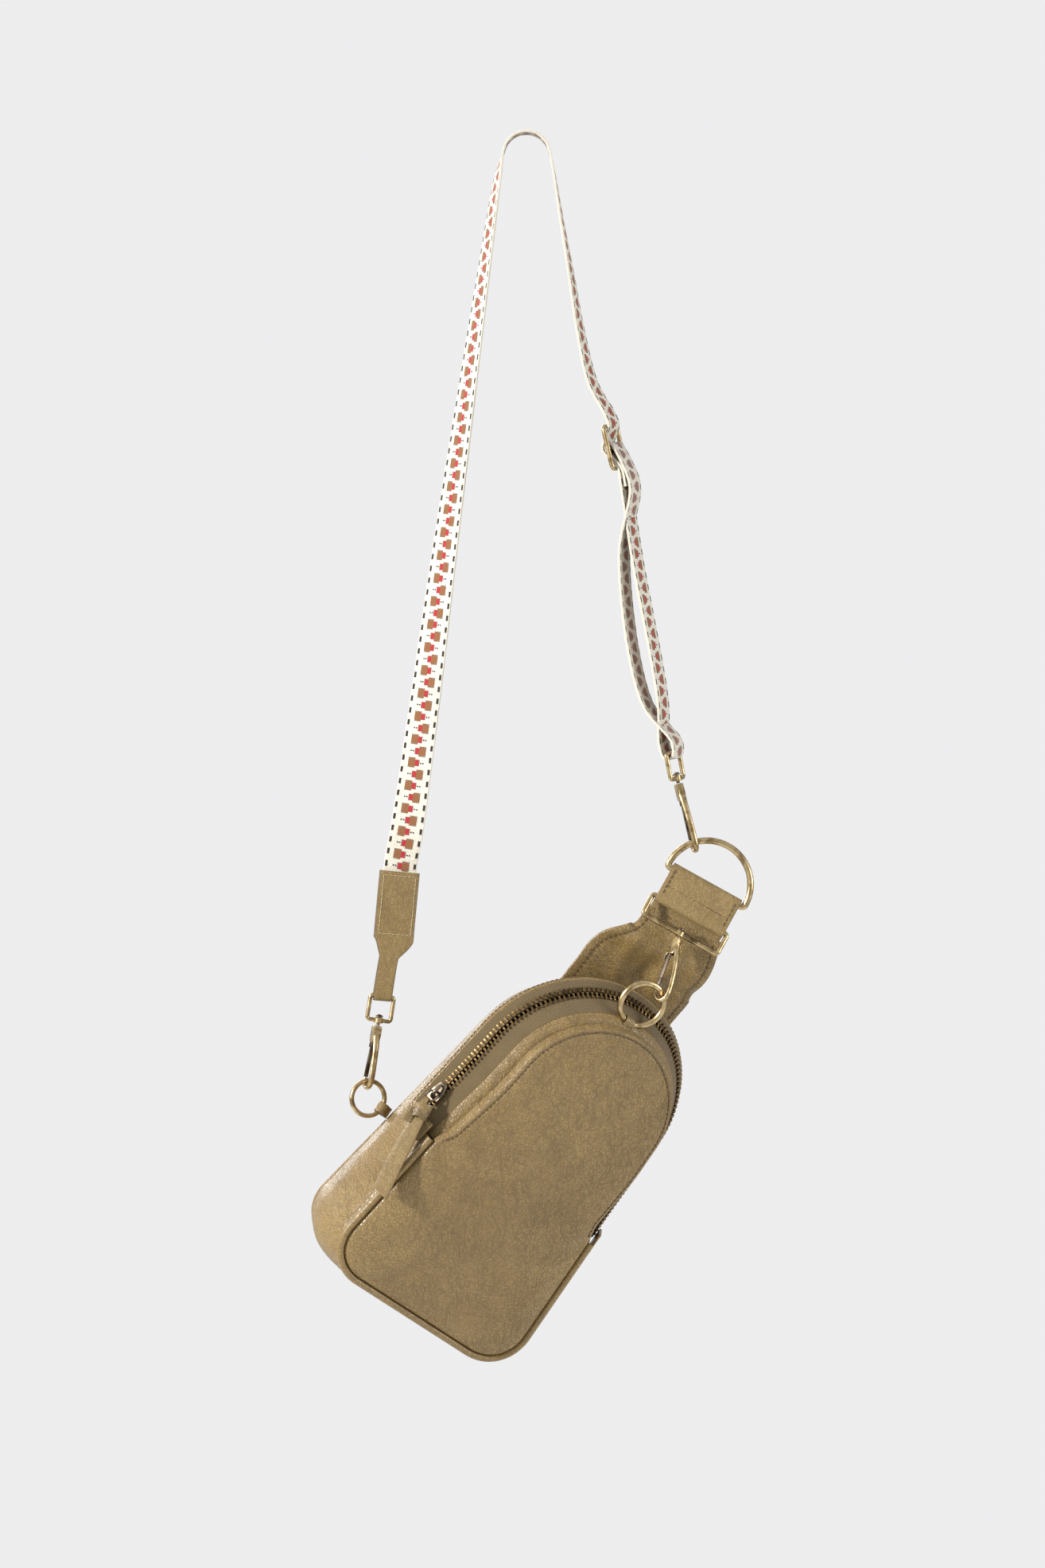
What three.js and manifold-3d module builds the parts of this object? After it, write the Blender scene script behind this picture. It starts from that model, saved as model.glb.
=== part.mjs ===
// Crossbody sling purse hanging by its strap.
// Millimetres, +Z up, front towards -Y, origin where the strap's crest bears on its support.
import * as THREE from 'three';
import { mergeVertices } from 'three/addons/utils/BufferGeometryUtils.js';
import Module from 'manifold-3d';

const wasm = await Module();
wasm.setup();

// ---------------------------------------------------------------- driving dimensions
const GAP = 0.35;

const BAG = {
  height: 239, halfWidth: 77, archRadius: 65.3, cornerRadius: 30,
  depthBottom: 62, depthTop: 46, zipEnd: 104, wall: 1.8, panelEdge: 2.3, puff: 11,
  roll: 35, yaw: 27, pitch: 7, origin: new THREE.Vector3(-73.1, -2.6, -745.7),
};
const PIPING_RADIUS = 2.3;
const ZIP = {
  seam: 2.65, frontEdge: 11.6, teethFront: 15.7, teethBack: 20.3, backEdge: 24.4, tape: 1,
  inset: 8.5, slope: 0.85, skew: 4.5, tabTilt: 0.45,
};
const WEBBING = { width: 21, thickness: 1.5 };
const PEG_RADIUS = 14;
const LEATHER = 1.6;
const HOOK = {
  barWidth: 3.8, bar: 2.6, slack: 1.8, bow: 5.4, blockWidth: 4.8, pinRadius: 0.7, pinX: -2.4, pinZ: -10.6,
  gateWidth: 2, gateBar: 1.7,
};
const BOSS = { radius: 2.9, half: 1.7, hole: 1.35, stem: 1 };
const SMALL_BAIL = { width: 15, height: 15.5, wire: 1.3, corner: 1.8 };
const WIDE_BAIL = { width: 25.4, height: 16, wire: 1.4, corner: 1.8 };
const RECT_RING = { width: 53.2, height: 14.6, wire: 1.6, corner: 2 };
const D_RING = { radius: 27.4, wire: 2.1 };
const LEFT_RING = { radius: 11, wire: 1.5 };
const TOP_RING = { radius: 14.4, wire: 2 };

// ---------------------------------------------------------------- colours
const finish = (color, roughness, metalness) => (
  new THREE.MeshStandardMaterial({ color, roughness, metalness }));
const FINISH = {
  leather: finish('#a08a60', 0.55, 0),
  brass: finish('#b29765', 0.35, 1),
  antique: finish('#6a5b48', 0.4, 1),
  webbing: finish('#e6e0d2', 0.85, 0),
  tape: finish('#8d7c58', 0.8, 0),
  teeth: finish('#8a734a', 0.4, 1),
};

// ---------------------------------------------------------------- geometry helpers
const vec = (x, y, z) => new THREE.Vector3(x, y, z);

/** Closed body from points and triangles, turned so that its faces point out. */
function solid(points, triangles) {
  let volume = 0;
  for (const [a, b, c] of triangles) {
    volume += points[a].dot(points[b].clone().cross(points[c]));
  }
  const ordered = volume < 0 ? triangles.map(([a, b, c]) => [a, c, b]) : triangles;
  const geometry = new THREE.BufferGeometry();
  geometry.setAttribute('position', new THREE.Float32BufferAttribute(points.flatMap((p) => p.toArray()), 3));
  geometry.setIndex(ordered.flat());
  return geometry;
}

/** Quads between matching rings of points, with fan caps when the run is open. */
function skin(rings, closed = false) {
  const count = rings[0].length;
  const points = rings.flat();
  const triangles = [];
  const last = closed ? rings.length : rings.length - 1;
  for (let i = 0; i < last; i += 1) {
    const here = i * count;
    const next = ((i + 1) % rings.length) * count;
    for (let k = 0; k < count; k += 1) {
      const k1 = (k + 1) % count;
      triangles.push([here + k, here + k1, next + k1], [here + k, next + k1, next + k]);
    }
  }
  if (!closed) {
    for (const [start, flip] of [[0, true], [(rings.length - 1) * count, false]]) {
      // Caps pair the section's two long sides, so a curved strip is capped inside itself.
      for (let k = 0; k < count / 2 - 1; k += 1) {
        const [a, b, c, d] = [k, k + 1, count - 2 - k, count - 1 - k].map((n) => start + n);
        triangles.push(...(flip ? [[a, c, b], [a, d, c]] : [[a, b, c], [a, c, d]]));
      }
    }
  }
  return solid(points, triangles);
}

/** Sweeps a section (pairs of side and rise offsets) along points; side may be one vector or one each. */
function sweep(path, side, section, closed = false) {
  const total = path.length;
  const rings = path.map((point, i) => {
    const before = path[closed ? (i + total - 1) % total : Math.max(i - 1, 0)];
    const after = path[closed ? (i + 1) % total : Math.min(i + 1, total - 1)];
    const tangent = after.clone().sub(before).normalize();
    const across = (Array.isArray(side) ? side[i] : side).clone();
    across.addScaledVector(tangent, -across.dot(tangent)).normalize();
    const rise = tangent.clone().cross(across);
    const shape = typeof section === 'function' ? section(i / (total - 1)) : section;
    return shape.map(([u, v]) => point.clone().addScaledVector(across, u).addScaledVector(rise, v));
  });
  return skin(rings, closed);
}

/** Round or oval section with an even number of sides. */
function oval(halfU, halfV = halfU, sides = 8) {
  return Array.from({ length: sides }, (_, k) => {
    const angle = ((k + 0.5) * 2 * Math.PI) / sides;
    return [halfU * Math.cos(angle), halfV * Math.sin(angle)];
  });
}

/** Flat strip section. */
const strip = (width, thickness) => [
  [-width / 2, -thickness / 2], [width / 2, -thickness / 2],
  [width / 2, thickness / 2], [-width / 2, thickness / 2],
];

/** Points of an arc in the XZ plane of a sub-part. */
function arc(x, z, radius, from, to, steps) {
  return Array.from({ length: steps + 1 }, (_, i) => {
    const angle = THREE.MathUtils.degToRad(from + ((to - from) * i) / steps);
    return vec(x + radius * Math.cos(angle), 0, z + radius * Math.sin(angle));
  });
}

/** Smooth points through hand-set route points. */
const smooth = (route, steps) => (
  new THREE.CatmullRomCurve3(route, false, 'centripetal').getSpacedPoints(steps));

function toManifold(geometry) {
  const bare = geometry.clone();
  bare.deleteAttribute('normal');
  bare.deleteAttribute('uv');
  const merged = mergeVertices(bare, 1e-4);
  return new wasm.Manifold(new wasm.Mesh({
    numProp: 3,
    vertProperties: Float32Array.from(merged.attributes.position.array),
    triVerts: Uint32Array.from(merged.index.array),
  }));
}

function fromManifold(body) {
  const mesh = body.getMesh();
  const geometry = new THREE.BufferGeometry();
  geometry.setAttribute('position', new THREE.BufferAttribute(mesh.vertProperties, 3));
  geometry.setIndex(new THREE.BufferAttribute(mesh.triVerts, 1));
  return geometry;
}

/** Joins the first bodies and cuts the second ones out. */
function joinAndCut(joined, cuts = []) {
  let body = toManifold(joined[0]);
  for (const piece of joined.slice(1)) body = body.add(toManifold(piece));
  for (const piece of cuts) body = body.subtract(toManifold(piece));
  return fromManifold(body);
}

/** Cylinder about an axis: 'y' as three.js makes it, 'z' upright. */
function cylinder(radius, length, axis, x = 0, y = 0, z = 0, sides = 12) {
  const geometry = new THREE.CylinderGeometry(radius, radius, length, sides);
  if (axis === 'z') geometry.rotateX(Math.PI / 2);
  return geometry.translate(x, y, z);
}

const box = (dx, dy, dz, x, y, z) => new THREE.BoxGeometry(dx, dy, dz).translate(x, y, z);

function add(group, name, geometry, material) {
  const mesh = new THREE.Mesh(geometry, material);
  mesh.name = name;
  group.add(mesh);
  return mesh;
}

/** Group whose local X, Z follow two directions (Z exactly, X as near as it can). */
function frameAt(origin, zAxis, xHint) {
  const z = zAxis.clone().normalize();
  const x = xHint.clone().addScaledVector(z, -xHint.dot(z)).normalize();
  const group = new THREE.Group();
  group.matrix.makeBasis(x, z.clone().cross(x), z).setPosition(origin);
  group.matrix.decompose(group.position, group.quaternion, group.scale);
  return group;
}

// ---------------------------------------------------------------- bag body outline
const bag = new THREE.Group();
bag.position.copy(BAG.origin);
bag.rotation.order = 'YZX';
bag.rotation.set(...[BAG.pitch, BAG.roll, BAG.yaw].map(THREE.MathUtils.degToRad));
bag.updateMatrix();
const inWorld = (x, y, z) => vec(x, y, z).applyMatrix4(bag.matrix);
const turned = (x, y, z) => vec(x, y, z).applyQuaternion(bag.quaternion);

/** Right half of the outline from the bottom middle to the top middle: corner, leaning side, round arch. */
function halfOutline(steps) {
  const { halfWidth, archRadius, cornerRadius, height } = BAG;
  const archZ = height - archRadius;
  const lean = Math.atan2(halfWidth - archRadius, archZ - cornerRadius);
  const point = (x, z) => new THREE.Vector2(x, z);
  const path = new THREE.CurvePath();
  const corner = point(halfWidth, cornerRadius);
  const arch = new THREE.EllipseCurve(0, archZ, archRadius, archRadius, lean, Math.PI / 2);
  path.add(new THREE.LineCurve(point(0, 0), point(halfWidth - cornerRadius, 0)));
  path.add(new THREE.CubicBezierCurve(
    point(halfWidth - cornerRadius, 0), point(halfWidth - 0.42 * cornerRadius, 0),
    point(halfWidth + 0.6, 0.42 * cornerRadius), corner));
  path.add(new THREE.LineCurve(corner, arch.getPoint(0)));
  path.add(arch);
  return path.getSpacedPoints(steps);
}

const right = halfOutline(26);
const left = right.slice(1, -1).map((p) => new THREE.Vector2(-p.x, p.y)).reverse();
const OUTLINE = [...right, ...left].map((p, i, all) => {
  const before = all[(i + all.length - 1) % all.length];
  const after = all[(i + 1) % all.length];
  const normal = new THREE.Vector2(after.y - before.y, before.x - after.x).normalize();
  return { x: p.x, z: p.y, nx: normal.x, nz: normal.y };
});

const depthAt = (z) => BAG.depthBottom + ((BAG.depthTop - BAG.depthBottom) * z) / BAG.height;
const bulgeAt = (z) => 5 * Math.sin(Math.PI * Math.min(1, 0.2 + (0.8 * z) / BAG.height));

/** How far the arch leans sideways at a height and depth: most at its front seam, nothing behind the zip. */
function skewAt(z, y) {
  const share = THREE.MathUtils.clamp((y - ZIP.seam) / (ZIP.backEdge - ZIP.seam), 0, 1);
  return ZIP.skew * THREE.MathUtils.smoothstep(z, BAG.zipEnd, BAG.zipEnd + 60) * (1 - share);
}

const offset = (p, d, y) => vec(p.x + p.nx * d + skewAt(p.z, y), y, p.z + p.nz * d);

/** Offset of the sloping face that carries the zip, at a depth. */
const zipOffset = (y) => -ZIP.inset + ZIP.slope * (y - ZIP.seam);

/** Outline point at a given height on one side, for trimming runs exactly. */
function outlineAt(z, sign) {
  const side = right.findIndex((p, i) => i > 0 && p.y >= z);
  const [a, b] = [right[side - 1], right[side]];
  const t = (z - a.y) / (b.y - a.y);
  const normal = new THREE.Vector2(b.y - a.y, a.x - b.x).normalize();
  return { x: sign * (a.x + t * (b.x - a.x)), z, nx: sign * normal.x, nz: normal.y };
}

/** Stretch of the outline above or below the zip's ends, from the right end to the left end. */
function run(upper, endZ) {
  const inside = OUTLINE.filter((p) => (upper ? p.z > endZ + 2 : p.z < endZ - 2));
  const turn = (p) => Math.atan2(p.x, upper ? p.z : endZ - p.z);
  inside.sort((a, b) => turn(b) - turn(a));
  return [outlineAt(endZ, 1), ...inside, outlineAt(endZ, -1)];
}

const ARCH = run(true, BAG.zipEnd + GAP);
const CRADLE = run(false, BAG.zipEnd - GAP);

/** Wall that follows a run of the outline; stations are [offset, depth] from front to back. */
function band(points, stations, thickness) {
  const rings = points.map((p) => {
    const outer = stations.map((station) => {
      const [d, y] = station(p);
      return offset(p, d, y);
    });
    const inner = stations.map((station) => {
      const [d, y] = station(p);
      return offset(p, d - thickness, y);
    }).reverse();
    return [...outer, ...inner];
  });
  return skin(rings);
}

// ---------------------------------------------------------------- bag body panels
const CENTRE_Z = 112;

/** Moves an outline point in or out, more at the bottom cradle than in the zip's arch. */
function edgePoint(p, archOffset, cradleOffset, y) {
  const t = THREE.MathUtils.smoothstep(p.z, BAG.zipEnd, BAG.zipEnd + 14);
  return offset(p, cradleOffset + (archOffset - cradleOffset) * t, y);
}

/** Puffed front: flat behind, domed in front. */
function frontPanel() {
  const heights = [[1, BAG.panelEdge], [1, 0], [0.95, -3.4], [0.84, -6.6], [0.66, -9], [0.42, -10.4]];
  const points = [];
  for (const [scale, y] of heights) {
    for (const p of OUTLINE) {
      const edge = edgePoint(p, 0.5 - ZIP.inset, -2 * PIPING_RADIUS - GAP, y);
      points.push(vec(edge.x * scale, y, CENTRE_Z + (edge.z - CENTRE_Z) * scale));
    }
  }
  const count = OUTLINE.length;
  const triangles = [];
  for (let r = 0; r < heights.length - 1; r += 1) {
    for (let k = 0; k < count; k += 1) {
      const [a, b] = [r * count + k, r * count + ((k + 1) % count)];
      triangles.push([a, b, b + count], [a, b + count, a + count]);
    }
  }
  points.push(vec(0, BAG.panelEdge, CENTRE_Z), vec(0, -BAG.puff, CENTRE_Z));
  const last = (heights.length - 1) * count;
  for (let k = 0; k < count; k += 1) {
    const k1 = (k + 1) % count;
    triangles.push([k1, k, points.length - 2], [last + k, last + k1, points.length - 1]);
  }
  return solid(points, triangles);
}

/** Flat back sheet that leans with the bag's depth. */
function backPanel() {
  const rings = [0, BAG.wall + 0.8].map((rise) => OUTLINE.map((p) => {
    const edge = offset(p, -1, BAG.depthTop);
    return vec(edge.x, depthAt(edge.z) + rise, edge.z);
  }));
  const points = [...rings[0], ...rings[1]];
  const count = OUTLINE.length;
  const triangles = [];
  for (let k = 0; k < count; k += 1) {
    const k1 = (k + 1) % count;
    triangles.push([k, k1, k1 + count], [k, k1 + count, k + count]);
  }
  const depth = depthAt(CENTRE_Z);
  points.push(vec(0, depth, CENTRE_Z), vec(0, depth + BAG.wall + 0.8, CENTRE_Z));
  for (let k = 0; k < count; k += 1) {
    const k1 = (k + 1) % count;
    triangles.push([k1, k, 2 * count], [k + count, k1 + count, 2 * count + 1]);
  }
  return solid(points, triangles);
}

const back = (p) => depthAt(p.z) - GAP;

function lowerGusset() {
  const front = PIPING_RADIUS + 0.6 + GAP;
  return band(CRADLE, [
    () => [-2.6, front],
    (p) => [bulgeAt(p.z) * 0.7 - 0.5, front + 0.28 * (back(p) - front)],
    (p) => [bulgeAt(p.z), front + 0.62 * (back(p) - front)],
    (p) => [-1.4, back(p)],
  ], BAG.wall);
}

const topRingCentre = vec(-6.4, 6.9, 247.4);

function gussetFrontStrip() {
  const ends = [ZIP.seam, ZIP.frontEdge];
  const wall = band(ARCH, ends.map((y) => () => [zipOffset(y), y]), BAG.wall);
  const slotZ = BAG.height + zipOffset(topRingCentre.y) - 1.5;
  const slot = box(24, 5, 14, topRingCentre.x, topRingCentre.y, slotZ);
  const tabSlot = box(8, 7.6, 14, topRingCentre.x, topRingCentre.y, slotZ);
  return joinAndCut([wall], [slot, tabSlot]);
}

function gussetBackStrip() {
  return band(ARCH, [
    () => [zipOffset(ZIP.backEdge), ZIP.backEdge],
    (p) => [bulgeAt(p.z) * 0.4 + 5.5, ZIP.backEdge + 0.5 * (back(p) - ZIP.backEdge)],
    (p) => [-1.4, back(p)],
  ], BAG.wall);
}

const TEETH_MIDDLE = (ZIP.teethFront + ZIP.teethBack) / 2;
const zipTape = (from, to) => band(ARCH, [from, to].map((y) => () => [zipOffset(y) - 0.6, y]), ZIP.tape);

function zipTeeth() {
  return band(ARCH, [
    () => [zipOffset(ZIP.teethFront) - 0.4, ZIP.teethFront],
    () => [zipOffset(TEETH_MIDDLE) + 0.9, TEETH_MIDDLE],
    () => [zipOffset(ZIP.teethBack) - 0.4, ZIP.teethBack],
  ], 2);
}

/** Folded leather stop that covers the end of the zip on one side. */
function zipEndTab(sign) {
  const path = [-7, 7].map((rise) => {
    const p = outlineAt(BAG.zipEnd + rise, sign);
    return offset(p, 5.2, 12.5);
  });
  const middle = outlineAt(BAG.zipEnd, sign);
  const side = vec(middle.nx * ZIP.tabTilt, 1, middle.nz * ZIP.tabTilt);
  return sweep(path, side, strip(19, LEATHER));
}

function piping() {
  const path = CRADLE.map((p) => offset(p, -PIPING_RADIUS, 0.6));
  return sweep(path, vec(0, 1, 0), oval(PIPING_RADIUS));
}

add(bag, 'front_panel', frontPanel(), FINISH.leather);
add(bag, 'back_panel', backPanel(), FINISH.leather);
add(bag, 'lower_gusset', lowerGusset(), FINISH.leather);
add(bag, 'gusset_front_strip', gussetFrontStrip(), FINISH.leather);
add(bag, 'gusset_back_strip', gussetBackStrip(), FINISH.leather);
add(bag, 'zip_tape_front', zipTape(ZIP.frontEdge + GAP, ZIP.teethFront - GAP), FINISH.tape);
add(bag, 'zip_tape_back', zipTape(ZIP.teethBack + GAP, ZIP.backEdge - GAP), FINISH.tape);
add(bag, 'zip_teeth', zipTeeth(), FINISH.teeth);
add(bag, 'edge_piping', piping(), FINISH.leather);
for (const [name, sign] of [['zip_end_tab_left', -1], ['zip_end_tab_right', 1]]) {
  add(bag, name, zipEndTab(sign), FINISH.leather);
}

// ---------------------------------------------------------------- rings on the bag
function ring(spec, sides = 28) {
  return new THREE.TorusGeometry(spec.radius, spec.wire, 8, sides).rotateX(Math.PI / 2);
}

/** Leather loop round a ring's wire, with both ends together: a path in the XZ plane, swept along Y. */
function ringTab(wire, width, length, leather) {
  const turn = wire + leather / 2 + 2 * GAP;
  const half = leather / 2 + GAP / 2;
  const path = [
    vec(-half, 0, -length), vec(-half, 0, -turn - 1.6), vec(-turn * 0.9, 0, -turn * 0.75),
    ...arc(0, 0, turn, 190, -10, 8),
    vec(turn * 0.9, 0, -turn * 0.75), vec(half, 0, -turn - 1.6), vec(half, 0, -length),
  ];
  return sweep(path, vec(0, 1, 0), strip(width, leather));
}

// Top ring: stands up behind the front panel's edge, its foot held inside the seam.
const topRing = new THREE.Group();
topRing.position.copy(topRingCentre);
bag.add(topRing);
add(topRing, 'top_ring', ring(TOP_RING, 32), FINISH.brass);
const topTab = frameAt(topRingCentre.clone().add(vec(0, 0, -TOP_RING.radius)), vec(0, 0, 1), vec(0, 1, 0));
bag.add(topTab);
add(topTab, 'top_ring_tab', ringTab(TOP_RING.wire, 7, 14, 0.8), FINISH.leather);

// Left ring: on a short tab that leaves the back seam of the left gusset.
const leftRingCentre = vec(-99.6, 0.7, -606.6);
const seamPoint = inWorld(-BAG.halfWidth + 5.6, 56, 92);
const tabDirection = leftRingCentre.clone().sub(seamPoint).normalize();
const ringYaw = THREE.MathUtils.degToRad(22);
const leftRingX = vec(Math.cos(ringYaw), Math.sin(ringYaw), 0);
const leftRing = frameAt(leftRingCentre, vec(0, 0, 1), leftRingX);
const ringNormal = vec(-leftRingX.y, leftRingX.x, 0);
const footDirection = tabDirection.clone()
  .addScaledVector(ringNormal, -tabDirection.dot(ringNormal)).normalize();
const leftRingFoot = leftRingCentre.clone().addScaledVector(footDirection, -LEFT_RING.radius);
add(leftRing, 'left_ring', ring(LEFT_RING), FINISH.brass);
const footUp = leftRingCentre.clone().sub(leftRingFoot).normalize();
const leftTab = frameAt(leftRingFoot, footUp, ringNormal);
add(leftTab, 'left_ring_tab', ringTab(LEFT_RING.wire, 7, 6, 1.2), FINISH.leather);

// ---------------------------------------------------------------- D-ring, loop tab and rectangular ring
const barDirection = vec(0.874, 0, -0.486);
const barUp = vec(0.486, 0, 0.874);
const dBarCentre = vec(112.8, -6, -472.8);
const neckTop = frameAt(dBarCentre, barUp, barDirection);

function dRing() {
  const path = [...arc(0, 1, D_RING.radius, 0, 180, 22), vec(-D_RING.radius + 0.8, 0, -0.6),
    vec(-D_RING.radius + 4, 0, -1), vec(D_RING.radius - 4, 0, -1), vec(D_RING.radius - 0.8, 0, -0.6)];
  return sweep(path, vec(0, 1, 0), oval(D_RING.wire), true);
}
add(neckTop, 'd_ring', dRing(), FINISH.brass);

/** Rounded rectangular wire ring with a bored boss in its lower bar, in its own XZ plane. */
function bail(spec) {
  const { width, height, wire, corner } = spec;
  const [x, z] = [width / 2 - corner, height - corner];
  const path = [...arc(x, corner, corner, -90, 0, 3), ...arc(x, z, corner, 0, 90, 3),
    ...arc(-x, z, corner, 90, 180, 3), ...arc(-x, corner, corner, 180, 270, 3)];
  const loop = sweep(path, vec(0, 1, 0), oval(wire), true);
  const boss = cylinder(BOSS.radius, 2 * BOSS.half, 'z');
  return joinAndCut([loop, boss], [cylinder(BOSS.hole, 12, 'z')]);
}

// The rectangular ring hangs from the tab and leans towards the front ring.
const RECT_TOP = { forward: 2, down: 20.5 };
const rectTop = vec(0, -RECT_TOP.forward, -RECT_TOP.down).applyMatrix4(neckTop.matrix);
const hookLean = THREE.MathUtils.degToRad(17);
const rectUp = barUp.clone().multiplyScalar(Math.cos(hookLean)).add(vec(0, Math.sin(hookLean), 0));
const rectBottom = rectTop.clone().addScaledVector(rectUp, -RECT_RING.height);
const rectRing = frameAt(rectBottom, rectUp, barDirection);
add(rectRing, 'rect_ring', bail(RECT_RING), FINISH.brass);

/** Neck leather's end: up behind the bars, over the D-ring's bar, down and round the lower bar. */
function loopTab() {
  const t = LEATHER / 2 + GAP;
  const over = D_RING.wire + t;
  const under = RECT_RING.wire + t;
  const path = [vec(0, over, -28), vec(0, over, -1)];
  const bend = (y, z, radius, from) => {
    for (let a = from; a <= from + 180; a += 30) {
      const angle = THREE.MathUtils.degToRad(a);
      path.push(vec(0, y + radius * Math.cos(angle), z + radius * Math.sin(angle)));
    }
  };
  bend(0, -1, over, 0);
  bend(-RECT_TOP.forward, -RECT_TOP.down, under, 180);
  path.push(vec(0, 0.5, -8));
  return sweep(path, vec(1, 0, 0), strip(48.8, LEATHER));
}
add(neckTop, 'ring_loop_tab', loopTab(), FINISH.leather);

/** Neck: from a lap sewn behind the top of the back panel up to the loop tab. */
function neckPanel() {
  const lap = (z) => inWorld(2, depthAt(z) + BAG.wall + 0.8 + GAP + 2.2, z);
  const route = [lap(206), lap(241), lap(262).add(vec(0, -2, 0)),
    vec(0, 5.6, -48).applyMatrix4(neckTop.matrix), vec(0, 4.4, -28.5).applyMatrix4(neckTop.matrix)];
  const sides = [0, 0, 0.3, 0.7, 1].map((t) => turned(1, 0, 0).lerp(barDirection, t));
  const widths = [80, 82, 78, 62, 51];
  const thickness = [4, 4, 5.5, 5, 2.4];
  const rings = route.map((point, i) => {
    const tangent = route[Math.min(i + 1, 4)].clone().sub(route[Math.max(i - 1, 0)]).normalize();
    const across = sides[i].clone().addScaledVector(tangent, -sides[i].dot(tangent)).normalize();
    const rise = tangent.clone().cross(across);
    const [w, t] = [widths[i] / 2, thickness[i] / 2];
    return [[-w, -t * 0.5], [-w * 0.8, -t], [0, -t], [w * 0.8, -t], [w, -t * 0.5],
      [w, t * 0.5], [w * 0.8, t], [0, t], [-w * 0.8, t], [-w, t * 0.5]]
      .map(([u, v]) => point.clone().addScaledVector(across, u).addScaledVector(rise, v));
  });
  return skin(rings);
}

const purse = new THREE.Group();
add(purse, 'neck_panel', neckPanel(), FINISH.leather);

// ---------------------------------------------------------------- swivel hooks
/** Hook bar from its slotted block down round the bow to the nose; z = 0 at the swivel's boss. */
function hookBody(length) {
  const drop = (z) => -z * (length - HOOK.bar / 2);
  const { bow } = HOOK;
  const route = [
    vec(0.4, 0, -9), vec(3, 0, drop(0.32)), vec(bow * 0.96, 0, drop(0.6)), vec(bow, 0, drop(0.84)),
    vec(bow * 0.76, 0, drop(0.95)), vec(0, 0, drop(1)), vec(-bow * 0.76, 0, drop(0.95)),
    vec(-bow, 0, drop(0.86)),
  ];
  const bar = sweep(smooth(route, 20), vec(0, 1, 0), oval(HOOK.barWidth / 2, HOOK.bar / 2));
  const top = -BOSS.half - 1.5 - GAP;
  const block = box(6.2, HOOK.blockWidth, 11, -0.9, 0, top - 5.5);
  const slot = box(5, HOOK.gateWidth + 0.8, 12, -3.4, 0, -12.9);
  const pinHole = cylinder(HOOK.pinRadius + 0.3, 10, 'y', HOOK.pinX, 0, HOOK.pinZ);
  return joinAndCut([bar, block], [slot, pinHole]);
}

/** Sprung gate from its pin down to the nose, closing the bow. */
function hookGate(length) {
  const tip = -(length - HOOK.bar / 2) * 0.86 + 0.6;
  const { pinX, pinZ, bow } = HOOK;
  const path = [vec(pinX, 0, pinZ + 2), vec(pinX, 0, pinZ - 1), vec(pinX - 1, 0, -16), vec(-bow, 0, tip)];
  const bar = sweep(path, vec(0, 1, 0), strip(HOOK.gateWidth, HOOK.gateBar + 0.8));
  return joinAndCut([bar], [cylinder(HOOK.pinRadius + 0.15, 8, 'y', pinX, 0, pinZ)]);
}

function swivelPin() {
  const z = BOSS.half + GAP;
  const profile = [[0, -z - 0.9], [BOSS.stem, -z - 0.9], [BOSS.stem, z + 0.1], [2.2, z + 0.1], [2.2, z + 1],
    [1.3, z + 1.7], [0, z + 1.7]].map(([r, h]) => new THREE.Vector2(r, h));
  return new THREE.LatheGeometry(profile, 12).rotateX(Math.PI / 2);
}

/** Swivel, hook, gate and pin hung between a boss and the wire that the bow holds. */
function swivelHook(name, boss, wirePoint, wireRadius, xHint) {
  const reach = boss.distanceTo(wirePoint);
  const length = reach + HOOK.bar + wireRadius + HOOK.slack;
  const group = frameAt(boss, boss.clone().sub(wirePoint), xHint);
  add(group, `${name}_swivel_pin`, swivelPin(), FINISH.antique);
  add(group, `${name}_hook_body`, hookBody(length), FINISH.brass);
  add(group, `${name}_hook_gate`, hookGate(length), FINISH.antique);
  const pin = cylinder(HOOK.pinRadius, HOOK.blockWidth, 'y', HOOK.pinX, 0, HOOK.pinZ, 10);
  add(group, `${name}_gate_pin`, pin, FINISH.antique);
  purse.add(group);
}

// ---------------------------------------------------------------- strap
/** Direction across the webbing when it has turned from edge-on by some degrees. */
function across(tangent, twist) {
  const angle = THREE.MathUtils.degToRad(twist);
  const sideways = vec(-tangent.z, 0, tangent.x).normalize();
  return vec(0, Math.cos(angle), 0).addScaledVector(sideways, Math.sin(angle));
}

const LEFT_END = vec(-81.8, 0.4, -486);
const END_DOWN = vec(-6.4, 0.4, -68).normalize();
const SLIDER = vec(55.3, -2.6, -197.5);
const RUN_DOWN = vec(0.222, -0.016, -0.975).normalize();
const SLIDER_TWIST = 20;
const SLIDER_ACROSS = across(RUN_DOWN, SLIDER_TWIST);
const SLIDER_OUT = SLIDER_ACROSS.clone().cross(RUN_DOWN).normalize();
const LOOP_BAR = vec(91.6, -6, -389.6);
const RIGHT_BOSS = vec(94.6, -6, -405.4);
const STRAP_STEP = 34;

/** Left run: from the sewn end up to the crest, turning from flat-on to edge-on; [point, degrees turned]. */
function leftStops() {
  return [
    [LEFT_END, 100],
    [LEFT_END.clone().addScaledVector(END_DOWN, -12), 100],
    [LEFT_END.clone().addScaledVector(END_DOWN, -25), 100],
    [vec(-75.6, 0.4, -440), 84], [vec(-70.8, 0.3, -408), 72], [vec(-61, 0.2, -336), 60],
    [vec(-51.8, 0.1, -266), 48], [vec(-36.8, 0, -158), 31], [vec(-27.1, 0, -89.5), 21],
    [vec(-18, 0, -28), 11],
  ];
}

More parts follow.
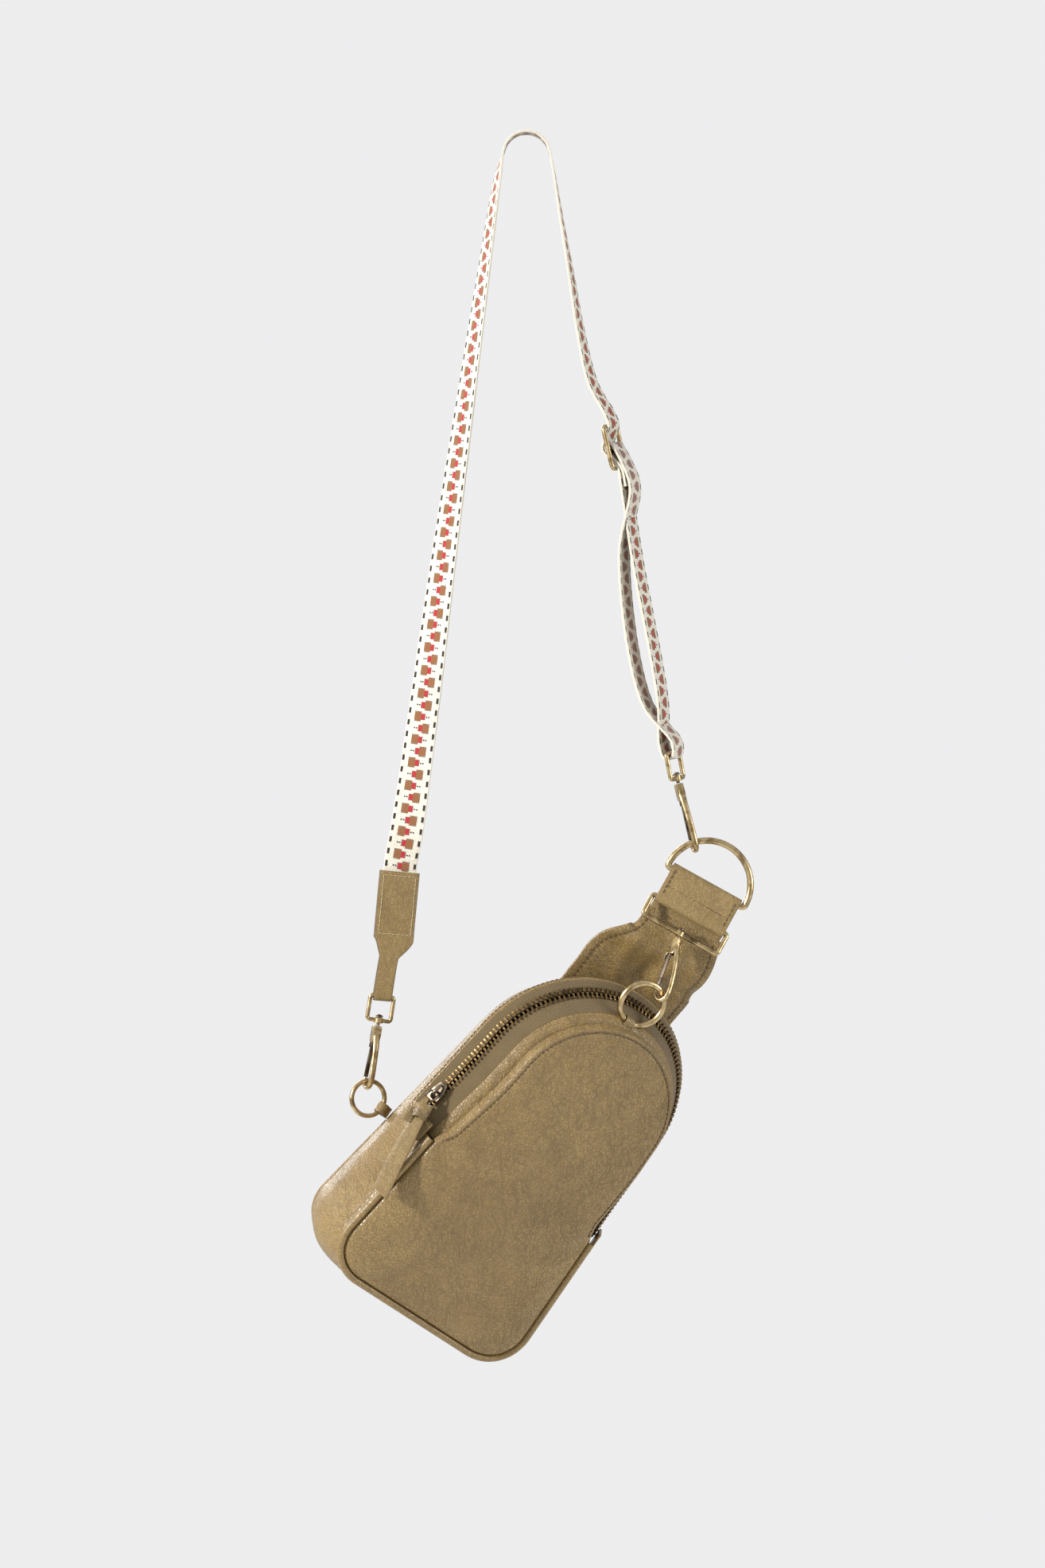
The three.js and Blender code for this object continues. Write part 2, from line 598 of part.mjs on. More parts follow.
/** Half turn over the support. */
function crestStops() {
  const crest = PEG_RADIUS + WEBBING.thickness / 2;
  return [172, 145, 118, 90, 62, 35, 14].map((degrees) => {
    const angle = THREE.MathUtils.degToRad(degrees);
    return [vec(crest * Math.cos(angle), 0, -PEG_RADIUS + crest * Math.sin(angle)), 0];
  });
}

/** Right run: down, over the adjuster's bar, round the lower bar, and back up to where it is sewn. */
function rightStops() {
  const loopDown = LOOP_BAR.clone().sub(SLIDER).normalize();
  const place = (origin, down) => (n, t) => (
    [origin.clone().addScaledVector(SLIDER_OUT, n).addScaledVector(down, t), SLIDER_TWIST]);
  const at = place(SLIDER, RUN_DOWN);
  const low = place(LOOP_BAR, loopDown);
  const free = (x, y, z) => [vec(x, y, z), SLIDER_TWIST];
  return [
    [vec(22.2, -0.4, -55), 5], [vec(28.2, -0.8, -89.5), 9], [vec(33.8, -1.2, -123.5), 13],
    [vec(42, -1.9, -158), 18],
    at(-1.6, -22), at(-2.6, -13.5), at(1.4, -7), at(4.7, 0), at(1.4, 7), at(-2.6, 13.5), at(-2, 24),
    free(69.3, -3.8, -266), free(85.6, -5, -357.5),
    low(4.3, -6), low(2.6, 2.2), low(0, 3.2), low(-2.6, 2.2), low(-4.3, -6),
    free(75.4, -5, -357.5), free(61.3, -3.8, -266),
    at(-7.4, 27), at(-5.2, 9), at(-2.7, 0.8), at(-1.7, -1.9), at(0.9, -2.5),
    at(2.5, 0.4), at(-0.9, 7), at(-4.8, 14), at(-4.8, 26),
  ];
}

/** Centre line of the whole strap and the direction across it at each point. */
function strapRoute() {
  const stops = [...leftStops(), ...crestStops(), ...rightStops()];
  const last = stops.length - 1;
  const curve = new THREE.CatmullRomCurve3(stops.map(([p]) => p), false, 'centripetal');
  const points = [];
  const twists = [];
  for (let i = 0; i < last; i += 1) {
    const [[here, twist], [next, nextTwist]] = [stops[i], stops[i + 1]];
    const steps = Math.max(1, Math.round(here.distanceTo(next) / STRAP_STEP));
    for (let s = 0; s < steps; s += 1) {
      points.push(curve.getPoint((i + s / steps) / last));
      twists.push(twist + ((nextTwist - twist) * s) / steps);
    }
  }
  points.push(stops[last][0]);
  twists.push(stops[last][1]);
  const widths = twists.map((twist, i) => {
    const from = points[Math.max(i - 1, 0)];
    const to = points[Math.min(i + 1, points.length - 1)];
    // The left run turns with its own direction; beyond the crest the webbing keeps one direction.
    const leftRun = to.x >= from.x && points[i].x < -PEG_RADIUS;
    return across(leftRun ? to.clone().sub(from).normalize() : RUN_DOWN, twist);
  });
  return { points, widths };
}

function strapWebbing() {
  const { points, widths } = strapRoute();
  return sweep(points, widths, strip(WEBBING.width, WEBBING.thickness));
}
add(purse, 'strap_webbing', strapWebbing(), FINISH.webbing);

/** Adjuster: a rectangular wire frame with a centre bar, threaded by the webbing. */
function adjuster() {
  const group = frameAt(SLIDER, RUN_DOWN.clone().negate(), SLIDER_ACROSS);
  const [halfWide, halfTall, wire, corner] = [13, 13.5, 1.3, 3];
  const corners = [[1, -1, -90], [1, 1, 0], [-1, 1, 90], [-1, -1, 180]];
  const path = corners.flatMap(([sx, sz, start]) => arc(
    sx * (halfWide - corner), sz * (halfTall - corner), corner, start, start + 90, 3));
  add(group, 'adjuster_frame', sweep(path, vec(0, 1, 0), oval(wire), true), FINISH.brass);
  const bar = cylinder(wire, 2 * (halfWide - wire - GAP), 'y').rotateZ(Math.PI / 2);
  add(group, 'adjuster_bar', bar, FINISH.antique);
  purse.add(group);
}
adjuster();

// ---------------------------------------------------------------- left end: folded tab, bail and hook
const endAcross = across(END_DOWN.clone().negate(), 100);
const tabTop = LEFT_END.clone().addScaledVector(END_DOWN, -22);
const tabFrame = frameAt(tabTop, END_DOWN.clone().negate(), endAcross);
const smallBoss = vec(-93, 0.9, -557.6);
const smallUp = LEFT_END.clone().sub(smallBoss).normalize();
const smallBail = frameAt(smallBoss, smallUp, endAcross);
add(smallBail, 'left_bail', bail(SMALL_BAIL), FINISH.brass);

/** Leather folded round the bail's upper bar, both layers sewn over the webbing's end. */
function endTab() {
  const barPoint = smallBoss.clone().addScaledVector(smallUp, SMALL_BAIL.height);
  const inverse = tabFrame.matrix.clone().invert();
  const bar = barPoint.applyMatrix4(inverse);
  const turn = SMALL_BAIL.wire + LEATHER / 2 + GAP;
  const half = WEBBING.thickness / 2 + GAP + LEATHER / 2;
  const layer = (s) => [vec(0, s * half, 0), vec(0, s * half, -24), vec(0, s * half, -44),
    vec(bar.x * 0.5, bar.y * 0.6 + s * turn * 0.95, -54), vec(bar.x, bar.y + s * turn, bar.z)];
  const fold = [45, 90, 135].map((a) => {
    const angle = (a * Math.PI) / 180;
    return vec(bar.x, bar.y + turn * Math.cos(angle), bar.z - turn * Math.sin(angle));
  });
  const path = [...layer(1), ...fold, ...layer(-1).reverse()];
  const widths = [25, 25, 25, 16, 9.6, 9.6, 9.6, 9.6, 9.6, 16, 25, 25, 25];
  return sweep(path, vec(1, 0, 0), (t) => strip(widths[Math.round(t * (widths.length - 1))], LEATHER));
}
add(tabFrame, 'strap_end_tab', endTab(), FINISH.leather);

// ---------------------------------------------------------------- right end: wide bail
const wideUp = LOOP_BAR.clone().sub(RIGHT_BOSS).normalize();
const wideBail = frameAt(RIGHT_BOSS, wideUp, SLIDER_ACROSS);
add(wideBail, 'right_bail', bail(WIDE_BAIL), FINISH.brass);

// ---------------------------------------------------------------- the three hooks
const leftWire = vec(0, 0, LEFT_RING.radius).applyMatrix4(leftRing.matrix);
swivelHook('left', smallBoss, leftWire, LEFT_RING.wire, vec(Math.sin(ringYaw), -Math.cos(ringYaw), 0));
const dAngle = THREE.MathUtils.degToRad(137);
const dWire = vec(D_RING.radius * Math.cos(dAngle), 0, 1 + D_RING.radius * Math.sin(dAngle))
  .applyMatrix4(neckTop.matrix);
swivelHook('right', RIGHT_BOSS, dWire, D_RING.wire, vec(0.2, -0.98, 0));
const ringAngle = THREE.MathUtils.degToRad(25);
const topWire = vec(Math.sin(ringAngle), 0, Math.cos(ringAngle)).multiplyScalar(TOP_RING.radius)
  .add(topRingCentre).applyMatrix4(bag.matrix);
swivelHook('front', rectBottom, topWire, TOP_RING.wire, turned(0.3, -1, 0));

// ---------------------------------------------------------------- zip slider and its pull
const sliderAt = outlineAt(127, -1);
const sliderGroup = frameAt(
  offset(sliderAt, zipOffset(TEETH_MIDDLE) + 1.6, TEETH_MIDDLE),
  vec(sliderAt.nz, 0, -sliderAt.nx),
  vec(sliderAt.nx, -ZIP.slope, sliderAt.nz));
bag.add(sliderGroup);

/** Slider: a tapered top plate with a bridge that carries the pull. */
function zipSlider() {
  const plate = skin([[2.6, 7], [4, 1], [4, -6.5]].map(([half, z]) => [
    vec(1, -half, z), vec(2.4, -half, z), vec(2.4, half, z), vec(1, half, z)]));
  const arch = [vec(1.6, 0, 4.6), vec(5.9, 0, 3.6), vec(6.6, 0, 0), vec(5.9, 0, -3.6), vec(1.6, 0, -4.6)];
  const bridge = sweep(arch, vec(0, 1, 0), oval(0.9, 0.7));
  return joinAndCut([plate, bridge]);
}
add(sliderGroup, 'zip_slider', zipSlider(), FINISH.antique);

const bagSlider = sliderGroup.matrix.clone().premultiply(bag.matrix);
const pullEye = vec(4.2, 0, 0).applyMatrix4(bagSlider);
const sliderAcross = vec(0, 1, 0).transformDirection(bagSlider);
const knotCentre = vec(-62.8, -43.2, -606);
const linkMiddle = pullEye.clone().lerp(knotCentre, 0.5);
const linkGroup = frameAt(linkMiddle, pullEye.clone().sub(knotCentre), sliderAcross);

/** Wire link between the slider's bridge and the knotted pull. */
function pullLink() {
  const reach = pullEye.distanceTo(knotCentre) / 2;
  const path = [...arc(0, reach - 3, 3, 0, 180, 6), ...arc(0, -reach + 3, 3, 180, 360, 6)];
  return sweep(path, vec(0, 1, 0), oval(0.55), true);
}
add(linkGroup, 'pull_link', pullLink(), FINISH.antique);

/** Leather pull: a knot and a flat pointed tail. */
const tailEnd = vec(-90.2, -54.5, -661);
function pullTab() {
  const pull = frameAt(knotCentre, knotCentre.clone().sub(tailEnd), vec(0.85, -0.2, -0.48));
  const length = knotCentre.distanceTo(tailEnd);
  const lumps = [[1.5, 2.6, -2], [5.2, 4.8, -4.5], [5.8, 5.4, -8.5], [4.6, 2.6, -12.5]];
  const knot = skin(lumps.map(([u, v, z]) => oval(u, v, 10).map(([a, b]) => vec(a, b, z))));
  const end = -length;
  const cuts = [[4.2, 1.6, -11.5, 0], [4.8, 1.1, -20, 0], [5.6, 1.1, end + 5, 3], [5.3, 1.1, end, 3]];
  const tail = skin(cuts.map(([u, v, z, slant]) => [
    vec(-u, -v, z), vec(u, -v, z - slant), vec(u, v, z - slant), vec(-u, v, z)]));
  add(pull, 'pull_tab', joinAndCut([knot, tail]), FINISH.leather);
  return pull;
}

purse.add(bag, leftRing, leftTab, neckTop, rectRing, tabFrame, smallBail, wideBail, linkGroup, pullTab());

export default purse;
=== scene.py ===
import logging
import math
import random
from dataclasses import dataclass, field
from enum import Enum
from typing import Callable, Sequence

import bpy
from mathutils import Matrix, Vector, noise


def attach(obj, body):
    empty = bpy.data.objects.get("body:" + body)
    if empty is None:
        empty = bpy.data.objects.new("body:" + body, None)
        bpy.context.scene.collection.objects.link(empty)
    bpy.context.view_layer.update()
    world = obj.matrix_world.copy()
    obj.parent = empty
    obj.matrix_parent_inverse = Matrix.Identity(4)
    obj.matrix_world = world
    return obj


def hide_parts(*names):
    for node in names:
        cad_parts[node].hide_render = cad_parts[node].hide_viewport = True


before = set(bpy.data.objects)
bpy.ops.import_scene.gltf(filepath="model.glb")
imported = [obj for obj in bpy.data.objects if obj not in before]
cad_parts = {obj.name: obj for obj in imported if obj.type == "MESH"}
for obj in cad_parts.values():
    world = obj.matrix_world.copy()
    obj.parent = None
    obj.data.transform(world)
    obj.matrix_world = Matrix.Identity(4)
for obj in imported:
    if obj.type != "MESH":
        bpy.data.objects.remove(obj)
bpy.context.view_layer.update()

MM = 0.001
LOG = logging.getLogger("purse")

Section = list[tuple[float, float]]
Colour = tuple[float, float, float, float]


# ------------------------------------------------------------------ small maths
def mm(x: float, y: float, z: float) -> Vector:
    """Returns a point given in millimetres, in metres."""
    return Vector((x, y, z)) * MM


def ramp(value: float, low: float, high: float) -> float:
    """Returns a smooth rise from 0 at low to 1 at high."""
    t = min(1.0, max(0.0, (value - low) / (high - low)))
    return t * t * (3 - 2 * t)


def bump(value: float, centre: float, width: float) -> float:
    """Returns a soft bell of height 1 at the centre."""
    return math.exp(-(((value - centre) / width) ** 2))


def between(rows: Sequence[Sequence[float]], at: float) -> list[float]:
    """Interpolates a table whose first column rises.

    Args:
        rows: The table, first column first.
        at: Value of the first column to look up.

    Returns:
        The other columns there, smoothly between rows and held at the ends.
    """
    if at <= rows[0][0]:
        return list(rows[0][1:])
    for low, high in zip(rows, rows[1:]):
        if at <= high[0]:
            t = ramp(at, low[0], high[0])
            return [a + (b - a) * t for a, b in zip(low[1:], high[1:])]
    return list(rows[-1][1:])


def frame_at(origin: Vector, z_axis: Vector, x_hint: Vector) -> Matrix:
    """Returns the placement whose Z follows one direction and whose X is as near as it can be to another."""
    z = z_axis.normalized()
    x = (x_hint - z * x_hint.dot(z)).normalized()
    placement = Matrix((x, z.cross(x), z)).transposed().to_4x4()
    placement.translation = origin
    return placement


def arc(x: float, z: float, radius: float, start: float, end: float, steps: int) -> list[Vector]:
    """Returns points of an arc in a sub-part's XZ plane; lengths in millimetres, angles in degrees."""
    angles = [math.radians(start + (end - start) * i / steps) for i in range(steps + 1)]
    return [mm(x + radius * math.cos(a), 0.0, z + radius * math.sin(a)) for a in angles]


def tangents(path: Sequence[Vector], closed: bool) -> list[Vector]:
    """Returns the direction of a path at each of its points."""
    total = len(path)
    if closed:
        return [(path[(i + 1) % total] - path[i - 1]).normalized() for i in range(total)]
    return [(path[min(i + 1, total - 1)] - path[max(i - 1, 0)]).normalized() for i in range(total)]


def smooth_route(stops: Sequence[Vector], step: float) -> list[tuple[float, Vector]]:
    """Runs a centripetal curve through stops.

    Args:
        stops: Points that the curve passes through.
        step: Longest distance between the points made.

    Returns:
        Pairs of the stop number, with its fraction, and the point.
    """

    def lerp(a: Vector, b: Vector, ka: float, kb: float, t: float) -> Vector:
        """Returns the point between two for a knot value between theirs."""
        return a * ((kb - t) / (kb - ka)) + b * ((t - ka) / (kb - ka))

    result = []
    last = len(stops) - 1
    for i in range(last):
        b, c = stops[i], stops[i + 1]
        a = stops[i - 1] if i else b * 2 - c
        d = stops[i + 2] if i + 2 <= last else c * 2 - b
        knots = [0.0]
        for start, end in ((a, b), (b, c), (c, d)):
            knots.append(knots[-1] + max((end - start).length, 1e-9) ** 0.5)
        k0, k1, k2, k3 = knots
        count = max(1, math.ceil((c - b).length / step))
        for s in range(count):
            t = k1 + (k2 - k1) * s / count
            ab, bc, cd = lerp(a, b, k0, k1, t), lerp(b, c, k1, k2, t), lerp(c, d, k2, k3, t)
            result.append((i + s / count, lerp(lerp(ab, bc, k0, k2, t), lerp(bc, cd, k1, k3, t), k1, k2, t)))
    result.append((float(last), stops[-1].copy()))
    return result


def curve_points(stops: Sequence[Vector], step: float) -> list[Vector]:
    """Returns only the points of a smooth route."""
    return [point for _, point in smooth_route(stops, step)]


# ------------------------------------------------------------------ sections
def oval(half_u: float, half_v: float | None = None, sides: int = 14) -> Section:
    """Returns a round or oval section, in millimetres."""
    half_v = half_u if half_v is None else half_v
    angles = [2 * math.pi * (k + 0.5) / sides for k in range(sides)]
    return [(half_u * math.cos(a), half_v * math.sin(a)) for a in angles]


def soft_strip(width: float, thickness: float, bevel: float = 0.5, steps: int = 6) -> Section:
    """Returns a flat strip's section with rounded edges, in millimetres.

    Args:
        width: Full width.
        thickness: Full thickness.
        bevel: Radius of the edges.
        steps: Stretches across each face.

    Returns:
        The section, starting along its lower face.
    """
    half_w, half_t = width / 2, thickness / 2
    bevel = min(bevel, half_t * 0.98)
    low = [(-half_w + bevel + (width - 2 * bevel) * i / steps, -half_t) for i in range(steps + 1)]
    side = [(half_w - bevel * 0.29, -half_t + bevel * 0.29), (half_w, -half_t + bevel),
            (half_w, half_t - bevel), (half_w - bevel * 0.29, half_t - bevel * 0.29)]
    return low + side + [(-u, -v) for u, v in low] + [(-u, -v) for u, v in side]


# ------------------------------------------------------------------ shapes
@dataclass
class Shape:
    """Mesh in the making: points in metres, faces, a texture coordinate per corner and a finish per face."""

    points: list[Vector] = field(default_factory=list)
    faces: list[tuple[int, ...]] = field(default_factory=list)
    corners: list[list[tuple[float, float]]] = field(default_factory=list)
    finishes: list[int] = field(default_factory=list)

    def face(self, face: Sequence[int], corners: Sequence[tuple[float, float]] | None = None,
             finish: int = 0) -> None:
        """Adds one face."""
        self.faces.append(tuple(face))
        self.corners.append(list(corners) if corners else [(0.0, 0.0)] * len(face))
        self.finishes.append(finish)

    def join(self, *others: "Shape") -> "Shape":
        """Adds the geometry of other shapes and returns this one."""
        for other in others:
            start = len(self.points)
            self.points += other.points
            self.faces += [tuple(start + k for k in face) for face in other.faces]
            self.corners += other.corners
            self.finishes += other.finishes
        return self

    def moved(self, matrix: Matrix) -> "Shape":
        """Returns a copy of the shape placed by a matrix."""
        return Shape([matrix @ p for p in self.points], list(self.faces), list(self.corners), list(self.finishes))

    def tinted(self, finish: int) -> "Shape":
        """Gives every face one finish number and returns the shape."""
        self.finishes = [finish] * len(self.faces)
        return self


def skin(rings: Sequence[Sequence[Vector]], run: Sequence[float], rims: Sequence[Sequence[float]],
         closed: bool = False, round_closed: bool = True, caps: bool = True,
         finish: Callable[[int], int] = lambda k: 0) -> Shape:
    """Joins matching rings of points with quads.

    Args:
        rings: Rings of points.
        run: Texture coordinate along the run, one per ring (one more when closed).
        rims: Texture coordinate round each ring, one more than its points.
        closed: Whether the last ring joins the first.
        round_closed: Whether each ring closes on itself.
        caps: Whether the ends are capped.
        finish: Finish number for each step round the ring.

    Returns:
        The shape.
    """
    count = len(rings[0])
    shape = Shape([p for ring in rings for p in ring])
    total = len(rings)
    for i in range(total if closed else total - 1):
        j = (i + 1) % total
        for k in range(count if round_closed else count - 1):
            k1 = (k + 1) % count
            corners = [(run[i], rims[i][k]), (run[i], rims[i][k + 1]), (run[i + 1], rims[j][k + 1]),
                       (run[i + 1], rims[j][k])]
            shape.face((i * count + k, i * count + k1, j * count + k1, j * count + k), corners, finish(k))
    if caps and round_closed and not closed:
        for ring, turn in ((0, True), (total - 1, False)):
            loop = [ring * count + k for k in range(count)]
            shape.face(loop[::-1] if turn else loop, None, finish(0))
    return shape


def sweep(path: Sequence[Vector], sides: Vector | Sequence[Vector], section: Section | Callable[[float], Section],
          closed: bool = False, flat: bool = False, finish: Callable[[int], int] = lambda k: 0) -> Shape:
    """Sweeps a section along a path.

    Args:
        path: Points in metres.
        sides: Direction of the section's first axis, once or for each point.
        section: The section in millimetres, or a function of the share of the path that gives it.
        closed: Whether the path closes.
        flat: Whether the cross coordinate is the section's own first axis, for strips.
        finish: Finish number for each step round the section.

    Returns:
        The shape; its texture coordinates are metres along and round.
    """
    rings, rims, run = [], [], [0.0]
    for i, (point, tangent) in enumerate(zip(path, tangents(path, closed))):
        side = sides if isinstance(sides, Vector) else sides[i]
        across = (side - tangent * side.dot(tangent)).normalized()
        rise = tangent.cross(across)
        shape = section(i / (len(path) - 1)) if callable(section) else section
        rings.append([point + across * (u * MM) + rise * (v * MM) for u, v in shape])
        rim = [0.0]
        for (u0, v0), (u1, v1) in zip(shape, shape[1:] + shape[:1]):
            rim.append(rim[-1] + math.hypot(u1 - u0, v1 - v0) * MM)
        rims.append([u * MM for u, _ in shape + shape[:1]] if flat else rim)
        run.append(run[-1] + (path[(i + 1) % len(path)] - point).length)
    return skin(rings, run, rims, closed=closed, finish=finish)


def lathe(profile: Sequence[tuple[float, float]], sides: int = 28) -> Shape:
    """Turns a closed profile of (radius, height) pairs, in millimetres, about Z."""
    rings = []
    for radius, height in profile:
        angles = [2 * math.pi * k / sides for k in range(sides)]
        rings.append([mm(radius * math.cos(a), radius * math.sin(a), height) for a in angles])
    rim = [2 * math.pi * 2 * MM * k / sides for k in range(sides + 1)]
    run = [i * MM for i in range(len(rings) + 1)]
    return skin(rings, run, [rim] * len(rings), closed=True)


def pin(radius: float, length: float, bevel: float = 0.25, sides: int = 24) -> Shape:
    """Returns a round pin along Z with bevelled ends, in millimetres."""
    half = length / 2
    profile = [(1e-4, -half), (radius - bevel, -half), (radius, -half + bevel), (radius, half - bevel),
               (radius - bevel, half), (1e-4, half)]
    return lathe(profile, sides)


def torus(radius: float, wire: float, sides: int = 72) -> Shape:
    """Returns a wire ring in the XZ plane, in millimetres."""
    return sweep(arc(0, 0, radius, 0, 360 - 360 / sides, sides - 1), Vector((0, 1, 0)), oval(wire, sides=18), True)


def slab(outline: Sequence[tuple[float, float]], low: float, high: float, bevel: float) -> Shape:
    """Extrudes an outline in the XZ plane along Y with bevelled rims.

    Args:
        outline: Pairs of x and z in millimetres, once round.
        low: Y of one face.
        high: Y of the other.
        bevel: Width of the bevel.

    Returns:
        The closed shape.
    """
    cx = sum(x for x, _ in outline) / len(outline)
    cz = sum(z for _, z in outline) / len(outline)
    reach = max(math.hypot(x - cx, z - cz) for x, z in outline)
    rings = []
    for y, inset in ((low, bevel), (low + bevel * 0.3, bevel * 0.3), (low + bevel, 0), (high - bevel, 0),
                     (high - bevel * 0.3, bevel * 0.3), (high, bevel)):
        share = 1 - inset / reach
        rings.append([mm(cx + (x - cx) * share, y, cz + (z - cz) * share) for x, z in outline])
    rim = [k * MM for k in range(len(outline) + 1)]
    return skin(rings, [y * MM for y in range(len(rings) + 1)], [rim] * len(rings))


def rounded(corners: Sequence[tuple[float, float]], radius: float, steps: int = 4) -> list[tuple[float, float]]:
    """Rounds the corners of a polygon with quadratic curves."""
    result = []
    for i, corner in enumerate(corners):
        here = Vector(corner)
        ends = [Vector(corners[i - 1]), Vector(corners[(i + 1) % len(corners)])]
        start, end = [here + (e - here).normalized() * min(radius, (e - here).length * 0.45) for e in ends]
        for s in range(steps + 1):
            t = s / steps
            result.append(tuple(start * (1 - t) ** 2 + here * (2 * t * (1 - t)) + end * t ** 2))
    return result


def stitches(path: Sequence[Vector], normals: Sequence[Vector] | Vector, pitch: float = 3.4, thread: float = 0.3,
             fill: float = 0.72) -> Shape:
    """Lays a row of stitches along a path.

    Args:
        path: Points on the leather's face, in metres.
        normals: The face's outward direction, once or for each point.
        pitch: Distance between stitches in millimetres.
        thread: Thread radius in millimetres.
        fill: Share of the pitch that a stitch covers.

    Returns:
        The stitches as one shape.
    """
    result = Shape()
    lengths = [0.0]
    for a, b in zip(path, path[1:]):
        lengths.append(lengths[-1] + (b - a).length)

    def at(distance: float) -> tuple[Vector, Vector]:
        """Returns the point and face direction at a distance along the path."""
        i = min(max(k for k, value in enumerate(lengths) if value <= distance), len(path) - 2)
        t = (distance - lengths[i]) / max(lengths[i + 1] - lengths[i], 1e-9)
        normal = normals if isinstance(normals, Vector) else normals[i].lerp(normals[i + 1], t)
        return path[i].lerp(path[i + 1], t), normal.normalized()

    count = max(1, int(lengths[-1] / (pitch * MM)))
    true_pitch = lengths[-1] / count
    for n in range(count):
        start, end = n * true_pitch, (n + fill) * true_pitch
        points = []
        for share, lift in ((0.0, -0.9), (0.12, 0.1), (0.5, 0.55), (0.88, 0.1), (1.0, -0.9)):
            point, normal = at(start + (end - start) * share)
            points.append(point + normal * (lift * thread * MM))
        result.join(sweep(points, at(start)[1].cross(points[-1] - points[0]), oval(thread, sides=6)))
    return result


# ------------------------------------------------------------------ shading
def srgb(red: int, green: int, blue: int) -> Colour:
    """Returns a linear colour for display values from 0 to 255."""
    linear = [(c / 255 / 12.92) if c <= 10 else ((c / 255 + 0.055) / 1.055) ** 2.4 for c in (red, green, blue)]
    return (linear[0], linear[1], linear[2], 1.0)


class Slot(Enum):
    """Material slots of the record."""

    BODY = "body_leather"
    PIPING = "piping_leather"
    TAB = "tab_leather"
    WEBBING = "webbing"
    TAPE = "zip_tape"
    ZIP = "zip_metal"
    BRASS = "brushed_brass"
    ANTIQUE = "antique_brass"


@dataclass
class Graph:
    """Short ways to add and join shader nodes in one tree."""

    tree: bpy.types.NodeTree

    def add(self, kind: str, **inputs: object) -> bpy.types.Node:
        """Adds a node.

        Args:
            kind: Node type without its "ShaderNode" prefix.
            inputs: Values or sockets by input name, with _ for spaces; lower-case names set properties.

        Returns:
            The node.
        """
        node = self.tree.nodes.new("ShaderNode" + kind)
        for key, value in inputs.items():
            if key[0].islower():
                setattr(node, key, value)
            else:
                self.feed(node.inputs[key.replace("_", " ")], value)
        return node

    def feed(self, socket: bpy.types.NodeSocket, value: object) -> None:
        """Links a socket, or sets a value, to an input."""
        if isinstance(value, bpy.types.NodeSocket):
            self.tree.links.new(value, socket)
        else:
            socket.default_value = value

    def math(self, operation: str, *values: object) -> bpy.types.NodeSocket:
        """Adds a math node and returns its result."""
        node = self.add("Math", operation=operation)
        for socket, value in zip(node.inputs, values):
            self.feed(socket, value)
        return node.outputs[0]

    def mix(self, share: object, low: object, high: object) -> bpy.types.NodeSocket:
        """Mixes two colours and returns the result."""
        node = self.add("Mix", data_type="RGBA")
        for index, value in ((0, share), (6, low), (7, high)):
            self.feed(node.inputs[index], value)
        return node.outputs[2]

    def between(self, value: object, low: float, high: float) -> bpy.types.NodeSocket:
        """Returns a smooth rise of a value from 0 at low to 1 at high."""
        node = self.add("MapRange", interpolation_type="SMOOTHSTEP", Value=value, From_Min=low, From_Max=high)
        return node.outputs[0]

    def inside(self, value: object, centre: float, half: float, blur: float) -> bpy.types.NodeSocket:
        """Returns 1 where a value is within half of the centre, softening over blur."""
        away = self.math("ABSOLUTE", self.math("SUBTRACT", value, centre))
        return self.math("SUBTRACT", 1.0, self.between(away, half - blur / 2, half + blur / 2))

    def noise(self, vector: object, scale: float, detail: float = 2.0, distortion: float = 0.0) -> object:
        """Adds a noise texture and returns its value."""
        node = self.add("TexNoise", Vector=vector, Scale=scale, Detail=detail, Distortion=distortion)
        return node.outputs[0]

    def stretched(self, vector: object, x: float, y: float, z: float) -> bpy.types.NodeSocket:
        """Returns coordinates scaled along each axis."""
        node = self.add("VectorMath", operation="MULTIPLY")
        self.feed(node.inputs[0], vector)
        node.inputs[1].default_value = (x, y, z)
        return node.outputs[0]


